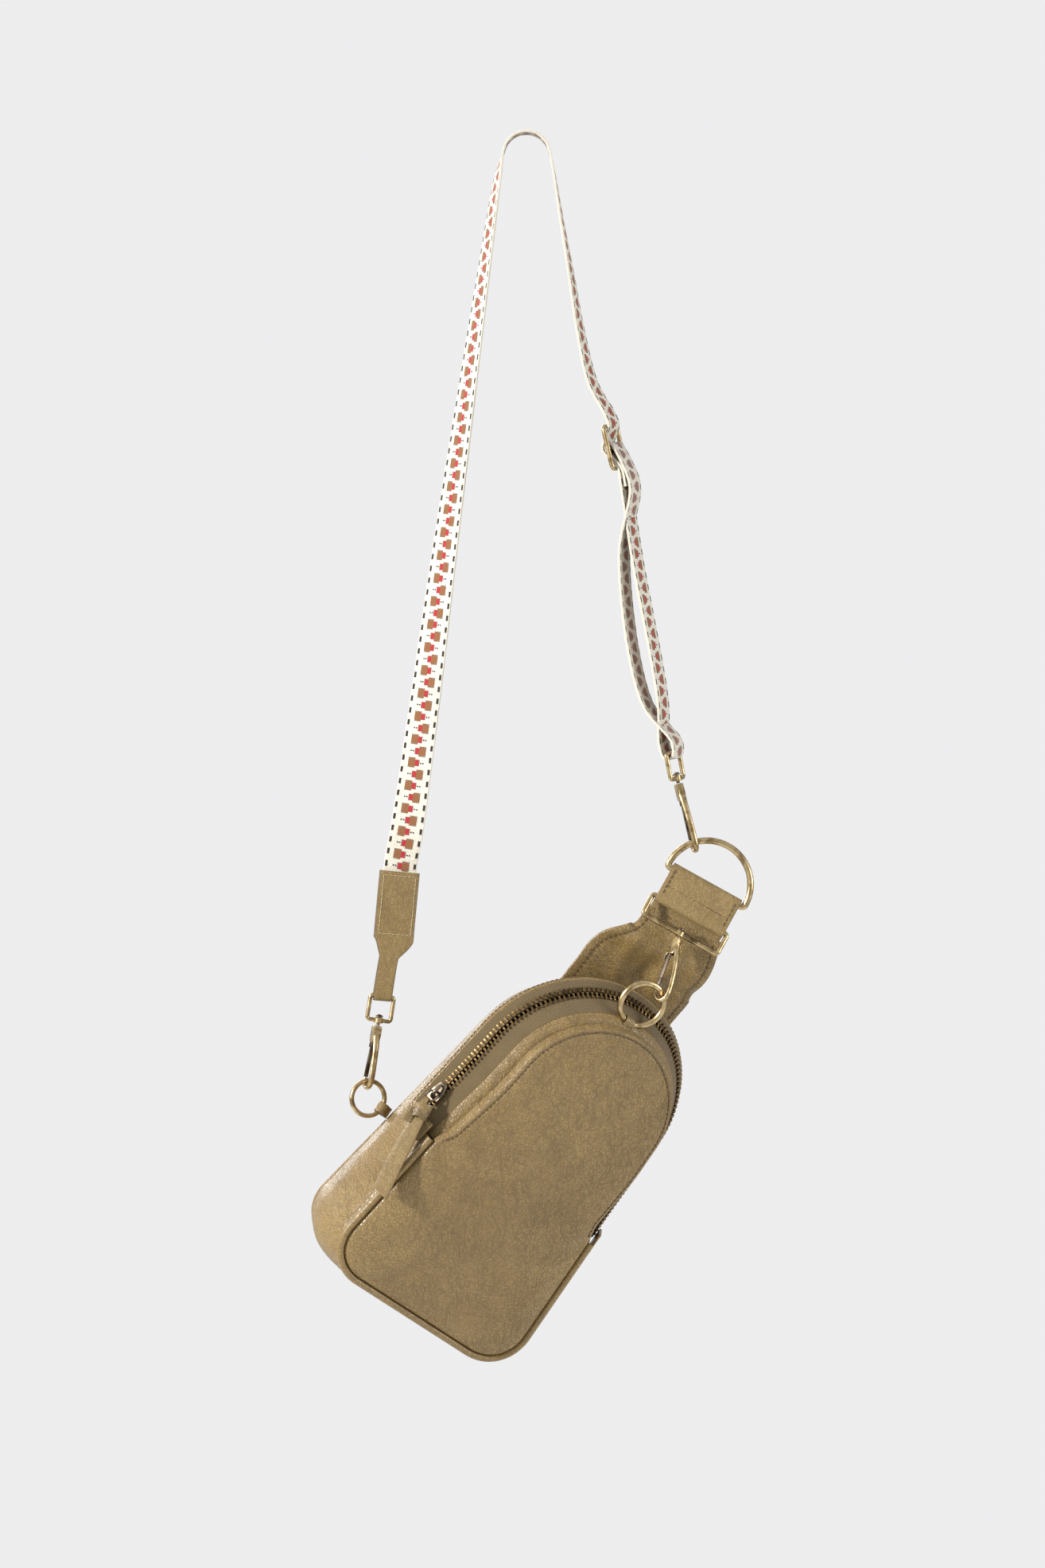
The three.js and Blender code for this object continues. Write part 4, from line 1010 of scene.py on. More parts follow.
@dataclass
class BagBody:
    """Panels, walls and piping of the bag."""

    shop: Workshop
    form: BagForm
    folds: tuple[Fold, ...] = (
        Fold((-66, 108), (-44, 84), 6.0, 1.7), Fold((-58, 128), (-40, 110), 5.0, 0.9),
        Fold((68, 100), (45, 82), 4.5, 1.5), Fold((66, 84), (50, 62), 4.0, 1.1), Fold((56, 66), (46, 40), 3.6, 0.8),
        Fold((54, 18), (36, 34), 5.0, 1.1), Fold((-58, 22), (-38, 36), 5.0, 0.9), Fold((-30, 12), (-22, 30), 4.5, 0.6),
        Fold((20, 200), (44, 176), 6.0, 0.7),
    )

    def build(self) -> None:
        """Makes and fits the body's pieces."""
        fit, place = self.shop.fit, self.form.place
        panel = fit("front_panel_puffed", place(self.front_panel()), [Look.BODY], "bag", ["front_panel"], 60)
        fit("front_panel_topstitch", place(self.arch_stitches()), [Look.THREAD], "bag", [])
        fit("back_panel_flat", place(self.back_panel()), [Look.BODY], "bag", ["back_panel"], 60)
        fit("gusset_lower_wall", place(self.lower_gusset()), [Look.BODY], "bag", ["lower_gusset"], 60)
        fit("gusset_front_wall", place(self.front_strip()), [Look.BODY], "bag", ["gusset_front_strip"], 60)
        fit("gusset_back_wall", place(self.back_strip()), [Look.BODY], "bag", ["gusset_back_strip"], 60)
        fit("gusset_back_topstitch", place(self.strip_stitches()), [Look.THREAD], "bag", [])
        fit("edge_piping_roll", place(self.piping()), [Look.PIPING], "bag", ["edge_piping"], 60)

    def panel_height(self, inset: float, share: float, point: RimPoint) -> float:
        """Returns how far the front panel stands forward of its seam.

        Args:
            inset: Distance in from the edge.
            share: 1 at the edge, 0 in the middle.
            point: Outline point that the place belongs to.

        Returns:
            The height in millimetres.
        """
        arch = ramp(point.z, self.form.zip_end, self.form.zip_end + 14)
        dome = 11 * (1 - share ** 2.6) ** 0.62
        margin = dome + 2.0 * (1 - ramp(inset, 2, 24)) * ramp(inset, 0, 1.2) - 0.5 * bump(inset, 3.8, 0.6)
        cradle = dome * (1 - 0.22 * math.exp(-inset / 4)) + 0.9 * share ** 3
        x = point.x * share
        z = self.form.centre_z + (point.z - self.form.centre_z) * share
        soft = ramp(inset, 3, 18)
        here = mm(x, 0, z)
        sag = 0.9 * crumple(here, 42, 3.1) + 0.4 * crumple(here, 15, 8.4) + 0.16 * crumple(here, 6, 1.7)
        dents = sum(fold.at(x, z) for fold in self.folds)
        return cradle + (margin - cradle) * arch + soft * sag - dents * ramp(inset, 0.5, 5)

    def panel_rows(self, point: RimPoint) -> list[Vector]:
        """Returns one spoke of the front panel from its hidden edge to near the middle."""
        arch = ramp(point.z, self.form.zip_end, self.form.zip_end + 14)
        edge = -(2 * self.form.piping + 0.2) * (1 - arch) + (0.5 - ZIP_INSET) * arch
        ex, ez = point.x + point.nx * edge + point.lean(0), point.z + point.nz * edge
        reach = point.nx * ex + point.nz * (ez - self.form.centre_z)

        def spot(inset: float, y: float) -> Vector:
            """Returns the place at a distance in from the edge."""
            share = 1 - inset / reach
            return mm(ex * share, y, self.form.centre_z + (ez - self.form.centre_z) * share)

        rows = [spot(1.6, 2.3), spot(0.6, 2.15), spot(0.12, 1.6), spot(0.0, 0.9), spot(0.08, 0.1)]
        insets = [0.5, 0.9, 1.4, 2.0, 2.7, 3.3, 3.8, 4.2, 4.6, 5.0, 5.4, 6.0, 7.0, 8.2, 9.5]
        insets += [9.5 + (reach - 9.5) * q for q in (0.03, 0.07, 0.11, 0.16, 0.21, 0.27, 0.33, 0.4, 0.47, 0.54, 0.61,
                                                     0.68, 0.75, 0.82, 0.88, 0.94, 0.985)]
        for inset in insets:
            start = ramp(inset, 0.0, 1.5) ** 0.5
            rows.append(spot(inset, -self.panel_height(inset, 1 - inset / reach, point) * start))
        return rows

    def front_panel(self) -> Shape:
        """Puffed panel with a rolled edge, a stitched margin in the arch and soft dents."""
        spokes = [self.panel_rows(p) for p in self.form.outline]
        return skin([list(ring) for ring in zip(*spokes)], [k * 2 * MM for k in range(len(spokes[0]) + 1)],
                    [[k * 2 * MM for k in range(len(spokes) + 1)]] * len(spokes[0]))

    def arch_stitches(self) -> Shape:
        """Stitches along the front panel's arch."""
        path = [self.panel_rows(p)[STITCH_ROW] + mm(0, -0.3, 0) for p in self.form.arch()[2:-2]]
        return stitches(path, Vector((0, -1, 0)), 3.1, 0.34)

    def back_panel(self) -> Shape:
        """Flat back sheet with a turned edge."""
        rings = []
        for inset, rise in ((3.0, 0.0), (1.2, 0.0), (0.2, 0.5), (0.0, 1.3), (0.2, 2.1), (1.0, 2.7), (2.2, 2.3),
                            (4, 2.6)):
            rings.append([p.out(-1 - inset, self.form.depth(p.z) + rise) for p in self.form.outline])
        for share in (0.9, 0.8, 0.7, 0.6, 0.5, 0.4, 0.3, 0.2, 0.1, 0.02):
            ring = []
            for p in self.form.outline:
                x, z = p.x * share * 0.94, self.form.centre_z + (p.z - self.form.centre_z) * share * 0.96
                ring.append(mm(x, self.form.depth(z) + 2.8 + 0.5 * crumple(mm(x, 0, z), 40, 5.0), z))
            rings.append(ring)
        return skin(rings, [k * 3 * MM for k in range(len(rings) + 1)],
                    [[k * 2 * MM for k in range(len(rings[0]) + 1)]] * len(rings))

    def wall(self, run: Sequence[RimPoint], front: Callable[[RimPoint], float], back: Callable[[RimPoint], float],
             offset: Callable[[RimPoint, float], float], thickness: float, rows: int) -> Shape:
        """Builds a wall that follows a run of the outline.

        Args:
            run: Points of the outline.
            front: Depth of the wall's front edge at a point.
            back: Depth of its back edge.
            offset: Offset at a point for a share from 0 at the front edge to 1 at the back edge.
            thickness: Thickness of the wall.
            rows: Stretches from front to back.

        Returns:
            The closed shape.
        """
        rings, along = [], [0.0]
        for i, p in enumerate(run):
            low, high = front(p), back(p)
            outer, inner = [], []
            for k in range(rows + 1):
                share = k / rows
                pinch = thickness * 0.3 * (bump(share, 0, 0.03) + bump(share, 1, 0.03))
                y = low + (high - low) * share
                outer.append(p.out(offset(p, share) - pinch, y))
                inner.append(p.out(offset(p, share) - thickness + pinch, y))
            rings.append(outer + inner[::-1])
            following = run[min(i + 1, len(run) - 1)]
            along.append(along[-1] + math.hypot(following.x - p.x, following.z - p.z) * MM)
        rims = [[k * 1.5 * MM for k in range(len(rings[0]) + 1)]] * len(rings)
        return skin(rings, along, rims)

    def lower_gusset(self) -> Shape:
        """Side and bottom wall, bulging between its seams."""

        def offset(p: RimPoint, share: float) -> float:
            """Returns the wall's offset with its seams, sag and creases."""
            bulge = self.form.bulge(p.z)
            base = flow(((0, -2.6), (0.06, -1.3 + 0.1 * bulge), (0.28, 0.7 * bulge - 0.5), (0.62, bulge),
                         (0.94, -0.2 + 0.15 * bulge), (1, -1.4)), share)
            here = p.out(0, share * 60)
            middle = math.sin(math.pi * min(1, max(0, share)))
            sag = 1.0 * crumple(here, 34, 6.2) + 0.45 * crumple(here, 13, 2.9) + 0.15 * crumple(here, 5, 4.4)
            cross = -1.0 * bump(p.z, 86, 5) * bump(share, 0.35, 0.28) - 0.8 * bump(p.z, 20, 5) * bump(share, 0.5, 0.3)
            return base + middle * (sag + cross)

        return self.wall(self.form.cradle(), lambda p: 3.25, lambda p: self.form.depth(p.z) - 0.35, offset, 1.8, 34)

    def front_strip(self) -> Shape:
        """Narrow wall between the front panel and the zip."""

        def offset(p: RimPoint, share: float) -> float:
            """Returns the strip's offset, slightly swollen between its seams."""
            swell = 0.5 * math.sin(math.pi * share) + 0.15 * crumple(p.out(0, 0), 9, 2.0)
            swell -= 1.3 * bump(share, 0, 0.2)
            return zip_offset(STRIP_START + (ZIP_FRONT - STRIP_START) * share) + swell

        return self.wall(self.form.arch(), lambda p: STRIP_START, lambda p: ZIP_FRONT, offset, 1.8, 10)

    def back_strip_offset(self, p: RimPoint, share: float) -> float:
        """Returns the offset of the wall behind the zip."""
        bulge = self.form.bulge(p.z)
        base = flow(((0, zip_offset(ZIP_BACK) - 0.2), (0.06, 10.6), (0.14, 10.4), (0.5, 5.8 + 0.4 * bulge), (0.92, 0.6),
                     (1, -1.4)), share)
        here = p.out(0, share * 30)
        return base + math.sin(math.pi * share) * (0.7 * crumple(here, 30, 9.3) + 0.3 * crumple(here, 11, 5.5))

    def back_strip(self) -> Shape:
        """Wall behind the zip."""
        return self.wall(self.form.arch(), lambda p: 24.4, lambda p: self.form.depth(p.z) - 0.35,
                         self.back_strip_offset, 1.8, 26)

    def strip_stitches(self) -> Shape:
        """Stitches along the wall behind the zip."""
        run = self.form.arch()[4:-4]
        path = []
        for p in run:
            share = 2.4 / (self.form.depth(p.z) - 24.75)
            path.append(p.out(self.back_strip_offset(p, share) + 0.1, 26.8))
        return stitches(path, [Vector((p.nx, 0, p.nz)) for p in run], 3.1, 0.27)

    def piping(self) -> Shape:
        """Leather rolled over a cord round the cradle's front seam."""
        path = [p.out(-self.form.piping, 0.6) for p in self.form.cradle()]
        return sweep(path, Vector((0, 1, 0)), oval(self.form.piping, sides=20))


# ------------------------------------------------------------------ zip
@dataclass
class Zip:
    """Tapes, teeth, end tabs, slider and pull."""

    shop: Workshop
    form: BagForm
    pitch: float = 2.9
    knot: Vector = field(default_factory=lambda: mm(-62.8, -43.2, -606))
    tail_end: Vector = field(default_factory=lambda: mm(-90.2, -54.5, -661))

    def build(self) -> None:
        """Makes and fits the zip's pieces."""
        fit, place = self.shop.fit, self.form.place
        fit("zip_tape_front_woven", place(self.tape(*FRONT_TAPE)), [Look.TAPE], "bag", ["zip_tape_front"])
        fit("zip_tape_back_woven", place(self.tape(*BACK_TAPE)), [Look.TAPE], "bag", ["zip_tape_back"])
        fit("zip_teeth_interleaved", place(self.teeth()), [Look.TEETH], "bag", ["zip_teeth"], 30)
        for side, sign in (("left", -1), ("right", 1)):
            fit(f"zip_end_tab_{side}_folded", place(self.end_tab(sign)), [Look.TAB, Look.PALE_THREAD], "bag",
                [f"zip_end_tab_{side}"])
        at = self.form.at(127, -1)
        slider = frame_at(at.out(zip_offset(ZIP_TEETH) + 1.6, ZIP_TEETH), Vector((at.nz, 0, -at.nx)),
                          Vector((at.nx, -ZIP_SLOPE, at.nz)))
        slider = self.form.placement @ slider
        fit("zip_slider_cast", self.slider().moved(slider), [Look.ANTIQUE], "zip_slider", ["zip_slider"], 30)
        eye = slider @ mm(4.2, 0, 0)
        link = frame_at(eye.lerp(self.knot, 0.5), eye - self.knot, slider.to_3x3() @ Vector((0, 1, 0)))
        fit("pull_link_wire", self.link((eye - self.knot).length / 2 / MM).moved(link), [Look.ANTIQUE], "pull_link",
            ["pull_link"])
        pull = frame_at(self.knot, self.knot - self.tail_end, Vector((0.85, -0.2, -0.48)))
        fit("pull_tab_knotted", self.pull().moved(pull), [Look.TAB, Look.EDGE], "pull_tab", ["pull_tab"])

    def tape(self, front: float, back: float) -> Shape:
        """Woven tape between two depths."""
        rings, along = [], [0.0]
        run = self.form.arch()
        for p, following in zip(run, run[1:] + run[-1:]):
            stations = ((-0.6, front), (-0.6, (front + back) / 2), (-0.6, back), (-1.6, back), (-1.6, front))
            rings.append([p.out(zip_offset(y) + d, y) for d, y in stations])
            along.append(along[-1] + math.hypot(following.x - p.x, following.z - p.z) * MM)
        rim = [0, (back - front) / 2 * MM, (back - front) * MM, (back - front + 1) * MM, 2 * (back - front) * MM,
               (2 * (back - front) + 1) * MM]
        return skin(rings, along, [rim] * len(rings))

    def teeth(self) -> Shape:
        """Separate teeth from both tapes, meeting in the middle."""
        outline = rounded([(-0.62, -1.95), (0.62, -1.95), (0.55, 0.3), (0.86, 0.9), (0.6, 1.6), (-0.6, 1.6),
                           (-0.86, 0.9), (-0.55, 0.3)], 0.3, 1)
        tooth = slab(outline, -0.95, 0.95, 0.26)
        run = self.form.arch()
        result = Shape()
        travelled = 0.0
        count = 0
        for a, b in zip(run, run[1:]):
            step = math.hypot(b.x - a.x, b.z - a.z)
            while count * self.pitch / 2 + 1 < travelled + step:
                t = (count * self.pitch / 2 + 1 - travelled) / step
                side = 1 if count % 2 else -1
                y = ZIP_TEETH + side * TOOTH_REACH
                offset = zip_offset(y) + 0.1
                centre = a.out(offset, y).lerp(b.out(offset, y), t)
                along = (b.out(offset, y) - a.out(offset, y)).normalized()
                down = (a.out(zip_offset(y + 1), y + 1) - a.out(zip_offset(y), y)).normalized() * -side
                down = (down - along * down.dot(along)).normalized()
                pose = Matrix((along, down.cross(along), down)).transposed().to_4x4()
                pose.translation = centre
                result.join(tooth.moved(pose))
                count += 1
            travelled += step
        return result

    def end_tab(self, sign: int) -> Shape:
        """Folded leather stop over the end of the zip, with two rows of stitches across it."""
        rows = [self.form.at(self.form.zip_end + rise, sign) for rise in (-7, -3.5, 0, 3.5, 7)]
        path = [p.out(5.2, 12.5) for p in rows]
        side = Vector((rows[2].nx * 0.45, 1, rows[2].nz * 0.45)).normalized()
        result = sweep(path, side, soft_strip(19, 1.6, 0.55), flat=True)
        up = (path[-1] - path[0]).normalized()
        out = up.cross(side) if up.cross(side).x * sign > 0 else side.cross(up)
        for along in (5.2 * MM, -5.2 * MM):
            line = [path[2] + up * along + out * 0.95 * MM + side * y * MM for y in (-7.8, 0, 7.8)]
            result.join(stitches(line, out, 2.9, 0.25).tinted(1))
        return result

    def slider(self) -> Shape:
        """Slider: bevelled plates joined at the nose, rolled side lips and a bridge."""
        turn = Matrix(((0, 1, 0), (1, 0, 0), (0, 0, 1))).to_4x4()
        top = rounded([(-2.3, 7.4), (2.3, 7.4), (4.2, 2.2), (4.2, -6.8), (-4.2, -6.8), (-4.2, 2.2)], 1.6)
        result = slab(top, 0.95, 2.5, 0.5).moved(turn)
        nose = rounded([(-1.6, 7.2), (1.6, 7.2), (1.2, 3.4), (-1.2, 3.4)], 0.5)
        result.join(slab(nose, -0.6, 1.2, 0.3).moved(turn))
        for side in (-1, 1):
            lip = rounded([(side * 4.3, 1.6), (side * 4.3, -6.4), (side * 3.5, -6.4), (side * 3.5, 1.6)], 0.3)
            result.join(slab(lip, -0.5, 1.8, 0.3).moved(turn))
        arch = curve_points([mm(1.6, 0, 4.9), mm(5.2, 0, 4.2), mm(6.5, 0, 1.6), mm(6.6, 0, -1.6), mm(5.2, 0, -4.2),
                             mm(1.6, 0, -4.9)], 0.5 * MM)
        return result.join(sweep(arch, Vector((0, 1, 0)), oval(1.25, 0.6)))

    def link(self, reach: float) -> Shape:
        """Wire link of a given half length."""
        path = arc(0, reach - 3, 3, 0, 180, 18) + arc(0, -reach + 3, 3, 180, 360, 18)
        return sweep(path, Vector((0, 1, 0)), oval(0.62), True)

    def pull(self) -> Shape:
        """Leather strip knotted through the link, with a slanted tail."""

        def strip(width: float, thickness: float) -> Section:
            """Returns a strip's section whose narrow sides can be told apart."""
            return soft_strip(width, thickness, 0.35, 4)

        def edges(k: int) -> int:
            """Returns the edge finish for the section's narrow sides."""
            return 0 if k % 9 < 4 else 1

        side = Vector((1, 0, 0))
        loop = curve_points([mm(0.4, -1.4, -7), mm(0, -1.9, -2.5), mm(0, -1.5, 0.6), mm(0, 0, 2.0), mm(0, 1.5, 0.6),
                             mm(0, 1.9, -2.5), mm(-0.4, 1.4, -7)], 0.6 * MM)
        result = sweep(loop, side, strip(3.9, 1.3), finish=edges)
        turns = ((24, 5.3, 4.3, -5.6, 6.2), (-32, 4.9, 4.7, -7.0, 5.6), (8, 4.6, 4.0, -9.6, 4.4))
        for tilt, wide, deep, z, width in turns:
            angles = [2 * math.pi * k / 40 for k in range(40)]
            path = [mm(wide * math.cos(a), deep * math.sin(a), z + math.tan(math.radians(tilt)) * wide * 0.6
                       * math.cos(a) + 0.4 * math.sin(3 * a)) for a in angles]
            result.join(sweep(path, Vector((0, 0, 1)), soft_strip(width, 1.5, 0.5, 5), True, finish=edges))
        stub = curve_points([mm(-3.4, -2.6, -8), mm(-4.4, -3.4, -12), mm(-4.6, -3.2, -17)], MM)
        result.join(sweep(stub, Vector((0.8, 0.5, 0)), strip(5.2, 1.4), finish=edges))
        length = (self.knot - self.tail_end).length / MM
        tail = curve_points([mm(0.6, 0.2, -7), mm(0.9, -1.1, -14), mm(0.3, 0.2, -26), mm(-0.2, 0.7, -42),
                             mm(0, 0, -length)], 1.2 * MM)
        blade = sweep(tail, side, lambda t: strip(*between(((0, 6.5, 1.9), (0.14, 8.4, 1.8), (0.5, 10.4, 1.8),
                                                            (1, 11.2, 1.8)), t)), finish=edges)
        for p in blade.points:
            p.z -= 4 * MM * (0.5 + p.x / (11.2 * MM)) * ramp(-p.z / MM, 34, 58)
        return result.join(blade)


# ------------------------------------------------------------------ neck
BAR_DIRECTION = Vector((0.874, 0, -0.486))
BAR_UP = Vector((0.486, 0, 0.874))
RECT_SIZE = (53.2, 14.6, 1.6, 2.0)
RECT_FORWARD, RECT_DOWN = 2.0, 20.5


@dataclass
class Neck:
    """Leather neck with its loop tab, D-ring and rectangular ring."""

    shop: Workshop
    form: BagForm
    top: Matrix = field(init=False)
    rect: Matrix = field(init=False)

    def __post_init__(self) -> None:
        """Places the neck's top on the D-ring's bar and the rectangular ring in the lower fold."""
        self.top = frame_at(mm(112.8, -6, -472.8), BAR_UP, BAR_DIRECTION)
        lean = math.radians(17)
        up = (BAR_UP * math.cos(lean) + Vector((0, math.sin(lean), 0))).normalized()
        foot = self.top @ mm(0, -RECT_FORWARD, -RECT_DOWN) - up * RECT_SIZE[1] * MM
        self.rect = frame_at(foot, up, BAR_DIRECTION)

    def build(self) -> None:
        """Makes and fits the neck's pieces."""
        fit = self.shop.fit
        fit("neck_panel_gathered", self.panel(), [Look.BODY, Look.THREAD], "bag", ["neck_panel"], 60)
        fit("ring_loop_tab_folded", self.loop_tab().moved(self.top), [Look.TAB, Look.EDGE, Look.THREAD], "bag",
            ["ring_loop_tab"])
        fit("d_ring_wire", self.d_ring().moved(self.top), [Look.BRASS], "d_ring", ["d_ring"])
        fit("rect_ring_wire", bail(*RECT_SIZE).moved(self.rect), [Look.BRASS], "rect_ring", ["rect_ring"])

    def panel_line(self) -> tuple[list[Vector], list[Vector], list[list[float]]]:
        """Returns the neck's centre line, its directions across and its width and thickness along it."""

        def lap(z: float) -> Vector:
            """Returns a point just behind the back panel."""
            return self.form.placement @ mm(2, self.form.depth(z) + 5.15, z)

        stops = [lap(206), lap(241), lap(262) + mm(0, -2, 0), self.top @ mm(0, 5.6, -48), self.top @ mm(0, 4.4, -27)]
        low = self.form.placement.to_3x3() @ Vector((1, 0, 0))
        route = smooth_route(stops, 1.4 * MM)
        table = [(0, 0.0, 80, 4), (1, 0.0, 82, 4.4), (2, 0.3, 77, 5.6), (3, 0.7, 61, 4.8), (4, 1.0, 50.5, 2.4)]
        sizes = [[flow([(row[0], row[k]) for row in table], at) for k in (1, 2, 3)] for at, _ in route]
        return ([p for _, p in route], [low.lerp(BAR_DIRECTION, s[0]).normalized() for s in sizes],
                [s[1:] for s in sizes])

    def panel(self) -> Shape:
        """Soft double leather with gathered folds and stitched, bound sides."""
        path, sides, sizes = self.panel_line()
        columns = 44
        rings, left, right, faces = [], [], [], []
        total = len(path) - 1
        for i, (point, tangent) in enumerate(zip(path, tangents(path, False))):
            width, thick = sizes[i]
            share = i / total
            across = (sides[i] - tangent * sides[i].dot(tangent)).normalized()
            rise = tangent.cross(across)
            loose = ramp(share, 0.3, 0.5) * (1 - ramp(share, 0.9, 1.0))

            def fold(u: float) -> float:
                """Returns how far the leather stands off its middle surface, in millimetres."""
                here = point + across * u * MM
                lean = u + 26 * (share - 0.55)
                deep = -2.5 * bump(lean, 13, 5) * ramp(u, -14, 10) + 1.5 * bump(lean, 2, 6) - 1.3 * bump(lean, -17, 5)
                fine = 1.2 * crumple(here, 21, 7.7) + 0.4 * crumple(here, 8, 2.2)
                return loose * (deep + fine) + 0.35 * crumple(here, 12, 3.3)

            front, back = [], []
            for k in range(columns + 1):
                u = -width / 2 + width * k / columns
                near = abs(u) / (width / 2)
                half = thick / 2 * (1 - 0.62 * near ** 10) - 0.5 * bump(abs(u), width / 2 - 4.2, 1.0)
                middle = fold(u)
                front.append(point + across * u * MM + rise * (middle + half) * MM)
                back.append(point + across * u * MM + rise * (middle - half) * MM)
            rings.append(front + back[::-1])
            if 0.1 < share < 0.97:
                for line, u in ((left, -width / 2 + 4.2), (right, width / 2 - 4.2)):
                    half = thick / 2 - 0.4
                    line.append([point + across * u * MM + rise * (fold(u) + half * s) * MM for s in (1, -1)])
                faces.append(rise)
        rims = [[k * 1.6 * MM for k in range(len(rings[0]) + 1)]] * len(rings)
        result = skin(rings, [k * 1.4 * MM for k in range(len(rings) + 1)], rims)
        for line in (left, right):
            for side, sign in ((0, 1), (1, -1)):
                result.join(stitches([pair[side] for pair in line], [f * sign for f in faces], 3.3, 0.3).tinted(1))
        return result

    def loop_tab(self) -> Shape:
        """Neck's end folded over the D-ring's bar and round the lower bar, stitched down both sides."""
        over, under = 2.1 + 1.15, 1.6 + 1.15
        stops = [mm(0, over, -28), mm(0, over, -14), mm(0, over, -1)]
        stops += [mm(0, over * math.cos(a), -1 + over * math.sin(a)) for a in (math.pi * k / 8 for k in range(1, 9))]
        stops += [mm(0, -over - 0.5, -6.5), mm(0, -over - 0.9, -11), mm(0, -RECT_FORWARD - under, -16)]
        stops += [mm(0, -RECT_FORWARD + under * math.cos(a), -RECT_DOWN + under * math.sin(a))
                  for a in (math.pi * (1 + k / 8) for k in range(9))]
        stops += [mm(0, 0.55, -14), mm(0, 0.5, -8)]
        path = curve_points(stops, 0.9 * MM)
        steps = 16
        section = soft_strip(48.8, 1.6, 0.5, steps)
        tab = sweep(path, Vector((1, 0, 0)), section, flat=True,
                    finish=lambda k: 0 if k % (steps + 5) < steps else 1)
        for p in tab.points:
            p.y += 0.35 * MM * crumple(p, 9, 1.1)
        front = [p + mm(0, -1.0, 0) for p in path if p.y < -2.9 * MM and -18.5 * MM < p.z < -0.5 * MM]
        for u in (-21.6, 21.6):
            row = [p + mm(u, 0, 0) for p in front]
            tab.join(stitches(row, Vector((0, -1, 0)), 3.0, 0.3).tinted(2))
        row = [mm(u, -over - 1.62, -11.8) for u in (-21.6, -10, 0, 10, 21.6)]
        return tab.join(stitches(row, Vector((0, -1, 0)), 3.0, 0.3).tinted(2))

    def d_ring(self) -> Shape:
        """D-ring with a straight bar under its arch."""
        path = arc(0, 1, 27.4, 0, 180, 60)
        path += curve_points([mm(-27.3, 0, 0.3), mm(-26.2, 0, -0.75), mm(-24, 0, -1)], 0.5 * MM)[1:]
        path += [mm(-24 + 48 * k / 16, 0, -1) for k in range(1, 16)]
        path += curve_points([mm(24, 0, -1), mm(26.2, 0, -0.75), mm(27.3, 0, 0.3)], 0.5 * MM)
        return sweep(path, Vector((0, 1, 0)), oval(2.1, sides=18), True)


# ------------------------------------------------------------------ rings and hooks
def bail(width: float, height: float, wire: float, corner: float) -> Shape:
    """Returns a rounded rectangular wire ring with a barrel in its lower bar for a swivel.

    Args:
        width: Width between wire centres.
        height: Height between wire centres.
        wire: Wire radius.
        corner: Corner radius.

    Returns:
        The ring in its XZ plane, the barrel at the origin along Z.
    """
    x, z = width / 2 - corner, height - corner
    path = arc(x, corner, corner, -90, 0, 9) + arc(x, z, corner, 0, 90, 9)
    path += arc(-x, z, corner, 90, 180, 9) + arc(-x, corner, corner, 180, 270, 9)
    path += [mm(-x + 2 * x * k / 4, 0, 0) for k in range(1, 4) if abs(-x + 2 * x * k / 4) > 3]
    ring = Shape()
    lower = [mm(sign * 2.2, 0, 0) for sign in (-1, 1)]
    ring.join(sweep([lower[1], *path, lower[0]], Vector((0, 1, 0)), oval(wire, sides=18)))
    barrel = [(1.4, -1.7), (2.6, -1.7), (2.9, -1.4), (2.9, 1.4), (2.6, 1.7), (1.4, 1.7)]
    return ring.join(lathe(barrel))


